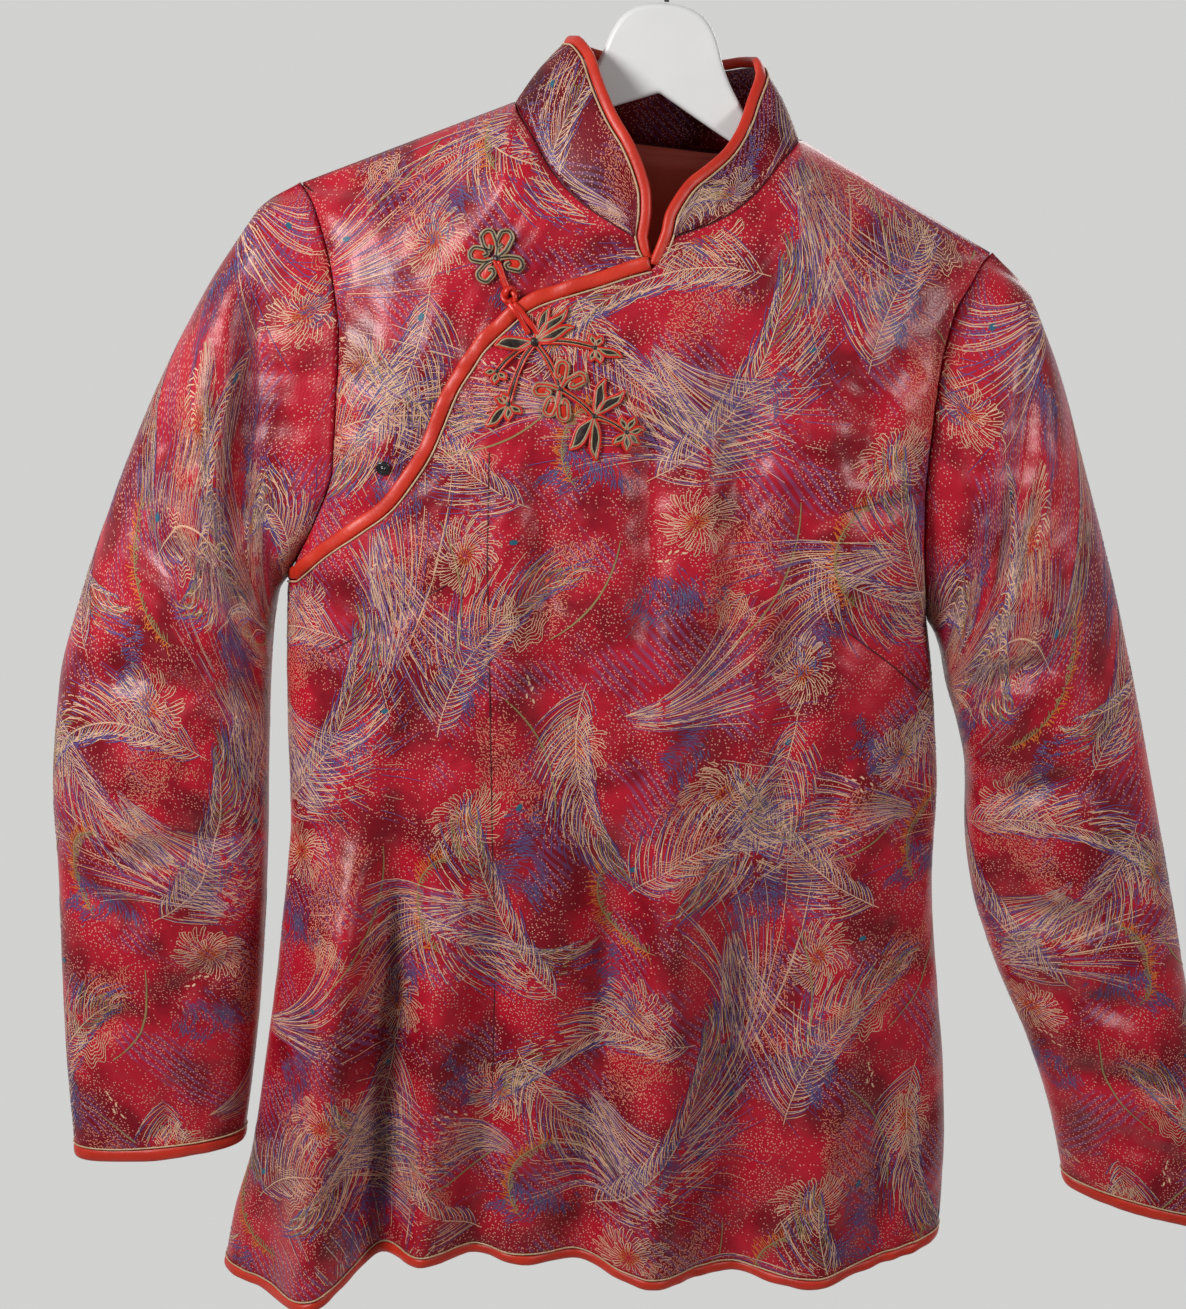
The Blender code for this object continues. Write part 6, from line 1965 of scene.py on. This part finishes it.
def build_spray(materials):
    """Lower frog: lilies and small flowers on stems, in red, cream and black cord."""
    cords = Cords("spray")
    places = {row[0]: (row[1], row[2]) for row in SPRAY}
    for name, x, z, parent, heart, petals in SPRAY:
        if parent:
            bow = STEM_BOW if x > places[parent][0] else -STEM_BOW
            add_stem(cords, places[parent], (x, z), bow, False)
        for number, (tip_x, tip_z, width) in enumerate(petals):
            hook = 1 if number % 2 else -1
            if name == "curly":
                add_loop(cords, (x, z), (tip_x, tip_z), width * CURLY_WIDE, hook, CURLY_STYLE, False)
            else:
                wide = max(width * PETAL_WIDE, PETAL_LEAST)
                add_petal(cords, (x, z), (tip_x, tip_z), wide, hook * PETAL_SWAY, LILY_STYLE, False)
        add_heart(cords, (x, z), heart, "cord black", False)
    cords.build(materials, "frog_spray")


def build_fastening(materials):
    """Knot of wound cord, the strands that carry it, and its loop over the piping."""
    cords = Cords("fastening")
    flower, lily = np.array(FLOWER[0][1:3]), np.array(SPRAY[0][1:3])
    knot = np.array(KNOT_AT)
    for offset in (-CARRY_SPREAD, CARRY_SPREAD):
        path = np.linspace(flower + (offset, -0.001), knot + (offset * 0.6, 0.001), 12)
        cords.add("cord red", laid_tube(path, CARRY_RADIUS, FROG_LIFT + CARRY_LIFT, True))
    centre = on_front(knot[0], knot[1], np.array(KNOT_HEIGHT), True)
    normal = cloth_normal(-1, turn_of(knot[0], knot[1]), knot[1], True)
    cords.add("cord red", wound_knot(centre, normal))
    cords.build(materials, "frog_knot")
    loop = Cords("loop")
    for spread in (-STRAP_SPREAD, STRAP_SPREAD):
        start = knot + (0.0020 + spread * 0.5, -0.0035)
        end = lily + (-0.0010 + spread, 0.0040)
        bow = np.sin(np.linspace(0, math.pi, STRAP_POINTS))[:, None]
        path = np.linspace(start, end, STRAP_POINTS) + np.array(STRAP_BOW) * bow
        rise = LOOP_RISE * np.sin(np.linspace(0.25, math.pi * 0.92, STRAP_POINTS))[:, None]
        strip = laid_strip(path, STRAP_HALF, STRAP_THICK, STRAP_SEAT + rise, STRAP_AROUND, False)
        loop.add("cord red", strip)
    loop.build(materials, "frog_loop")


def square_to(normal):
    """Two directions square to a normal and to each other."""
    first = unit(np.cross(normal, np.array((0.0, 0.0, 1.0))))
    return first, np.cross(normal, first)


def wound_knot(centre, normal):
    """Ball knot made of one cord wound round three times."""
    turns = round_turns(KNOT_POINTS)
    first, second = square_to(normal)
    ring = KNOT_BALL * (1 + 0.25 * np.cos(KNOT_WINDS[1] * turns))
    path = (centre + first * (ring * np.cos(KNOT_WINDS[0] * turns))[:, None]
            + second * (ring * 1.25 * np.sin(KNOT_WINDS[0] * turns))[:, None]
            + normal * (KNOT_BALL * 0.55 * np.sin(KNOT_WINDS[1] * turns))[:, None])
    along = direction(path, closed=True)
    side = unit(np.cross(along, path - centre))
    rings = round_rings(path, side, np.cross(side, along), KNOT_CORD, KNOT_AROUND)
    return rings.reshape(-1, 3), tube_faces(len(path), KNOT_AROUND, closed=True)


def build_snap(materials):
    """Press stud: a rimmed disc with a raised nub."""
    x, z = SNAP_AT
    centre = on_front(np.array(x), np.array(z), np.array(SNAP_LIFT), True)
    normal = cloth_normal(-1, turn_of(x, z), z, True)
    first, second = square_to(normal)
    angle = round_turns(SNAP_AROUND)
    circle = first * np.cos(angle)[:, None] + second * np.sin(angle)[:, None]
    rings = [centre + normal * rise + radius * circle for radius, rise in SNAP_PROFILE]
    faces = tube_faces(len(rings), SNAP_AROUND)
    attach(make_object("snap_stud", np.array(rings), faces, [materials["steel"]]), "snap")


def build_lining(materials):
    """Lining where it shows through the neck, just inside the back."""
    spread = np.linspace(-LINING_ACROSS, LINING_ACROSS, EDGE_POINTS) * LINING_SPREAD
    x = NECK_SIDE * np.sin(np.radians(spread))
    top_z, _ = top_line(1, x)
    edges = as_turns(x, top_z - LINING_DEPTH), as_turns(x, top_z - LINING_MARGIN)
    turn, z = ruled(*edges, np.linspace(0.0, 1.0, even_count(LINING_DEPTH)), even_count(LINING_WIDE))
    points = body_point(1, turn, z)
    normals = body_normal(1, turn, z)
    face = points - normals * (WALL + LINING_CLEAR)
    # The lining takes the inside satin, whose colour is made lighter as painted light
    item = make_shell("neck_lining_cloth", face, face - normals * LINING_THICK,
                      [materials["inside"], materials["inside"]], flip=True)
    set_flat(item, np.stack((points[..., 0], z), axis=-1))
    attach(item, "neck_lining")


def build_hanger(materials):
    """Smooth moulded hanger with rounded edges."""
    right, left = hanger_side(1), hanger_side(-1)
    vee = np.array(HANGER_VEE)
    beside = [tuple(vee + VEE_SHARE * (np.array(side[-1]) - vee)) for side in (right, left)]
    outline = right + [beside[0], HANGER_VEE, beside[1]] + left[::-1][:-1]
    curve = bpy.data.curves.new("hanger_outline", "CURVE")
    curve.dimensions = "2D"
    curve.fill_mode = "BOTH"
    curve.extrude = HANGER_THICK / 2 - HANGER_BEVEL
    curve.bevel_depth = HANGER_BEVEL
    curve.bevel_resolution = 4
    curve.offset = -HANGER_BEVEL
    spline = curve.splines.new("POLY")
    fine = rounded_outline(outline)
    spline.points.add(len(fine) - 1)
    for point, (x, z) in zip(spline.points, fine):
        point.co = (x, z, 0.0, 1.0)
    spline.use_cyclic_u = True
    item = curve_to_mesh(curve, "hanger_moulding", Matrix.Rotation(math.radians(90), 4, "X"))
    item.data.materials.append(materials["white"])
    attach(item, "hanger")


def rounded_outline(outline):
    """An outline with its corners rounded, by two passes of corner cutting."""
    points = np.array(outline)
    for _ in range(2):
        after = np.roll(points, -1, axis=0)
        points = np.stack((points * 0.75 + after * 0.25, points * 0.25 + after * 0.75), axis=1).reshape(-1, 2)
    return points


def curve_to_mesh(curve, name, turn):
    """Mesh object made from a curve and turned; the curve is removed."""
    drawn = link_item(name + "_drawn", curve)
    graph = bpy.context.evaluated_depsgraph_get()
    mesh = bpy.data.meshes.new_from_object(drawn.evaluated_get(graph))
    bpy.data.objects.remove(drawn)
    mesh.transform(turn)
    mesh.polygons.foreach_set("use_smooth", np.ones(len(mesh.polygons), bool))
    return link_item(name, mesh)


def build_hook(materials):
    """Wire hook swept along its centre line."""
    reach = HOOK_RADIUS + HOOK_WIRE
    angle = np.radians(np.linspace(*HOOK_ARC, HOOK_POINTS))
    arc = np.stack((HOOK_CENTRE[0] + reach * np.cos(angle), HOOK_CENTRE[1] + reach * np.sin(angle)), axis=-1)
    line = np.concatenate((np.array(HOOK_STEM), arc))
    path = np.stack((line[:, 0], np.zeros(len(line)), line[:, 1]), axis=-1)
    facing = np.broadcast_to(np.array((0.0, -1.0, 0.0)), path.shape)
    path, facing = dense_path(path, facing, HOOK_SPACING)
    attach(make_cord_line("hook_wire", path, facing, HOOK_WIRE, [materials["steel"]]), "hook")


def new_material(name):
    material = bpy.data.materials.new(name)
    material.use_nodes = True
    nodes = material.node_tree.nodes
    return material, nodes, material.node_tree.links, nodes["Principled BSDF"]


def add_node(nodes, kind, **values):
    node = nodes.new(kind)
    for key, value in values.items():
        if key in node.inputs:
            node.inputs[key].default_value = value
        else:
            setattr(node, key, value)
    return node


def ramp_node(nodes, stops):
    """Colour ramp from (position, colour) stops."""
    ramp = nodes.new("ShaderNodeValToRGB")
    elements = ramp.color_ramp.elements
    while len(elements) < len(stops):
        elements.new(0.5)
    for element, (position, colour) in zip(elements, stops):
        element.position = position
        element.color = (*colour, 1.0)
    return ramp


def mixed(nodes, links, factor, first, colour):
    """Lay a colour over another by a factor."""
    mix = nodes.new("ShaderNodeMix")
    mix.data_type = "RGBA"
    links.new(factor, mix.inputs["Factor"])
    links.new(first, mix.inputs["A"])
    mix.inputs["B"].default_value = (*colour, 1.0)
    return mix.outputs["Result"]


def calculated(nodes, links, kind, first, second):
    node = nodes.new("ShaderNodeMath")
    node.operation = kind
    links.new(first, node.inputs[0])
    if isinstance(second, float):
        node.inputs[1].default_value = second
    else:
        links.new(second, node.inputs[1])
    return node.outputs[0]


def noise_ramp(nodes, links, place, scale, detail, stops, **kind):
    """Colours that a noise texture spreads over a surface."""
    noise = add_node(nodes, "ShaderNodeTexNoise", Scale=scale, Detail=detail, **kind)
    links.new(place, noise.inputs["Vector"])
    ramp = ramp_node(nodes, stops)
    links.new(noise.outputs[0], ramp.inputs[0])
    return ramp.outputs[0]


def add_relief(nodes, links, height, distance, shader):
    """Fine relief on a surface."""
    bump = add_node(nodes, "ShaderNodeBump", Strength=BUMP, Distance=distance)
    links.new(height, bump.inputs["Height"])
    links.new(bump.outputs[0], shader.inputs["Normal"])


def weave_dots(nodes, links, place):
    """Small pale dots, thicker in some parts of the cloth than in others."""
    cells = add_node(nodes, "ShaderNodeTexVoronoi", voronoi_dimensions="2D", Scale=DOTS_PER_METRE)
    links.new(place, cells.inputs["Vector"])
    near = ramp_node(nodes, ((DOT_SIZE * 0.7, (1, 1, 1)), (DOT_SIZE, (0, 0, 0))))
    links.new(cells.outputs["Distance"], near.inputs[0])
    share = noise_ramp(nodes, links, place, 38.0, 2.0, DOT_PATCHES, noise_dimensions="2D")
    chosen = calculated(nodes, links, "LESS_THAN", cells.outputs["Color"], share)
    return calculated(nodes, links, "MULTIPLY", near.outputs[0], chosen)


def weave_hatch(nodes, links, place):
    """Fine blue-violet lines in soft-edged patches."""
    lines = add_node(nodes, "ShaderNodeTexWave", Scale=HATCH_LINES, Distortion=5.0, Detail=2.0)
    lines.bands_direction = "DIAGONAL"
    lines.inputs["Detail Scale"].default_value = 0.25
    links.new(place, lines.inputs["Vector"])
    thin = ramp_node(nodes, ((0.45, (0, 0, 0)), (0.75, (1, 1, 1))))
    links.new(lines.outputs[1], thin.inputs[0])
    where = noise_ramp(nodes, links, place, 19.0, 5.0, HATCH_PATCHES, noise_dimensions="2D")
    return calculated(nodes, links, "MULTIPLY", thin.outputs[0], where)


def brocade_material(name, dark, light, roughness, specular):
    """Crimson satin ground with woven dots and blue-violet hatching under the drawn lines."""
    material, nodes, links, shader = new_material(name)
    place = add_node(nodes, "ShaderNodeUVMap", uv_map="Cloth").outputs[0]
    stops = (0.38, dark), (0.58, light)
    ground = noise_ramp(nodes, links, place, 22.0, 6.0, stops, noise_dimensions="2D")
    colour = mixed(nodes, links, weave_hatch(nodes, links, place), ground, HATCH_COLOUR)
    dots = weave_dots(nodes, links, place)
    colour = mixed(nodes, links, dots, colour, DOT_COLOUR)
    links.new(colour, shader.inputs["Base Color"])
    shader.inputs["Roughness"].default_value = roughness
    shader.inputs["Specular IOR Level"].default_value = specular
    fine = add_node(nodes, "ShaderNodeTexNoise", noise_dimensions="2D", Scale=700.0, Detail=2.0)
    links.new(place, fine.inputs["Vector"])
    add_relief(nodes, links, calculated(nodes, links, "ADD", fine.outputs[0], dots), 0.0004, shader)
    return material


def grained_material(name, scale, detail, stops, roughness):
    """A colour that varies slightly over the object; returns the material and its shader."""
    material, nodes, links, shader = new_material(name)
    place = nodes.new("ShaderNodeTexCoord").outputs["Object"]
    links.new(noise_ramp(nodes, links, place, scale, detail, stops), shader.inputs["Base Color"])
    shader.inputs["Roughness"].default_value = roughness
    return material, shader


def satin_material(name, dark, light, roughness, scale):
    """Satin with a fine grain and slight colour variation."""
    material, shader = grained_material(name, scale, 4.0, ((0.3, dark), (0.7, light)), roughness)
    nodes, links = material.node_tree.nodes, material.node_tree.links
    fine = add_node(nodes, "ShaderNodeTexNoise", Scale=420.0, Detail=4.0)
    links.new(nodes["Texture Coordinate"].outputs["Object"], fine.inputs["Vector"])
    add_relief(nodes, links, fine.outputs[0], 0.0005, shader)
    return material


def make_materials():
    materials = {name: thread_material(name, colour) for name, colour in THREADS.items()}
    materials["brocade"] = brocade_material("brocade", GROUND_DARK, GROUND_LIGHT, 0.35, 0.48)
    # The collar's brocade has a darker ground than the body's: painted shade
    materials["collar brocade with painted shade"] = brocade_material("collar brocade with painted shade", COLLAR_SHADE_DARK, COLLAR_SHADE_LIGHT, 0.44, 0.22)
    for key, name, dark, light, roughness, scale in SATINS:
        materials[key] = satin_material(name, dark, light, roughness, scale)
    materials["steel"], shader = grained_material("dark steel wire", 700.0, 3.0, STEEL_STOPS, 0.32)
    shader.inputs["Metallic"].default_value = 1.0
    materials["white"], _ = grained_material("white hanger plastic", 30.0, 3.0, WHITE_STOPS, 0.35)
    return materials


def thread_material(name, colour):
    material, _, _, shader = new_material(name + " thread")
    shader.inputs["Base Color"].default_value = (*colour, 1.0)
    shader.inputs["Roughness"].default_value = 0.45
    shader.inputs["Specular IOR Level"].default_value = 0.25
    return material


def add_area(name, place, target, size, power):
    """Round soft light at a place, turned to a target."""
    light = bpy.data.lights.new(name, "AREA")
    light.shape = "DISK"
    light.size = size
    light.energy = power
    item = link_item(name, light)
    item.location = place
    facing = Vector(target) - Vector(place)
    item.rotation_euler = facing.to_track_quat("-Z", "Y").to_euler()


def build_floor():
    """Pale round floor below the jacket."""
    mesh = bpy.data.meshes.new("floor")
    rim = [(FLOOR_RADIUS * math.cos(turn), FLOOR_RADIUS * math.sin(turn), FLOOR_LOW)
           for turn in round_turns(FLOOR_SIDES)]
    mesh.from_pydata(rim, [], [tuple(range(FLOOR_SIDES))])
    material, _, _, shader = new_material("pale floor")
    shader.inputs["Base Color"].default_value = (*FLOOR_COLOUR, 1.0)
    shader.inputs["Roughness"].default_value = 0.9
    mesh.materials.append(material)
    link_item("floor", mesh)


def build_room():
    """Surroundings that light the jacket more from behind than from in front."""
    world = bpy.data.worlds.new("pale room")
    world.use_nodes = True
    nodes, links = world.node_tree.nodes, world.node_tree.links
    background = nodes["Background"]
    background.inputs["Color"].default_value = (*ROOM_COLOUR, 1.0)
    way = nodes.new("ShaderNodeSeparateXYZ")
    links.new(nodes.new("ShaderNodeTexCoord").outputs["Generated"], way.inputs[0])
    strength = nodes.new("ShaderNodeMapRange")
    strength.interpolation_type = "SMOOTHSTEP"
    strength.inputs["From Min"].default_value = ROOM_BLEND[0]
    strength.inputs["From Max"].default_value = ROOM_BLEND[1]
    strength.inputs["To Min"].default_value = ROOM_FRONT
    strength.inputs["To Max"].default_value = ROOM_BEHIND
    links.new(way.outputs["Y"], strength.inputs["Value"])
    links.new(strength.outputs[0], background.inputs["Strength"])
    bpy.context.scene.world = world


def build_stage():
    """Floor, surroundings and soft studio light."""
    build_floor()
    build_room()
    bpy.context.scene.view_settings.view_transform = "Standard"
    for light in LIGHTS:
        add_area(*light)


def build_camera():
    tilt, roll = math.radians(CAMERA_TILT), math.radians(CAMERA_ROLL)
    right = Vector((1.0, 0.0, 0.0))
    forward = Vector((0.0, math.cos(tilt), -math.sin(tilt)))
    up = Vector((0.0, math.sin(tilt), math.cos(tilt)))
    side = right * math.cos(roll) + up * math.sin(roll)
    rise = up * math.cos(roll) - right * math.sin(roll)
    matrix = Matrix((side, rise, -forward)).transposed().to_4x4()
    matrix.translation = Vector(CAMERA_AT)
    camera = bpy.data.cameras.new("camera")
    camera.sensor_fit = "VERTICAL"
    camera.sensor_height = SENSOR
    camera.lens = CAMERA_LENS
    item = link_item("camera", camera)
    item.matrix_world = matrix
    bpy.context.scene.camera = item


BROCADE = draw_repeat()


def build_seams(materials):
    """Seams and darts of the front as thin dark lines: painted shade along them."""
    cords = []
    for seam in SEAMS:
        path = np.array(seam)
        length = run_length(path)
        even = np.linspace(0.0, length[-1], int(length[-1] / SEAM_SPACING) + 2)
        path = np.stack([np.interp(even, length, path[:, axis]) for axis in range(2)], axis=-1)
        cords.append(laid_tube(path, SEAM_RADIUS, SEAM_LIFT, False))
    attach(make_object("front_seam_shade", *joined(cords), [materials["seam"]]))


def joined(parts):
    """Points and faces of several pieces as one."""
    faces, total = [], 0
    for points, cells in parts:
        faces += [[total + number for number in cell] for cell in cells]
        total += len(points)
    return np.concatenate([points for points, _ in parts]), faces


def main():
    materials = make_materials()
    build_seams(materials)
    build_front(materials)
    build_underlap(materials)
    build_back(materials)
    build_sleeve(-1, materials)
    build_sleeve(1, materials)
    build_collar(materials)
    build_lining(materials)
    build_hanger(materials)
    build_hook(materials)
    build_flower(materials)
    build_spray(materials)
    build_fastening(materials)
    build_snap(materials)
    build_stage()
    build_camera()


main()
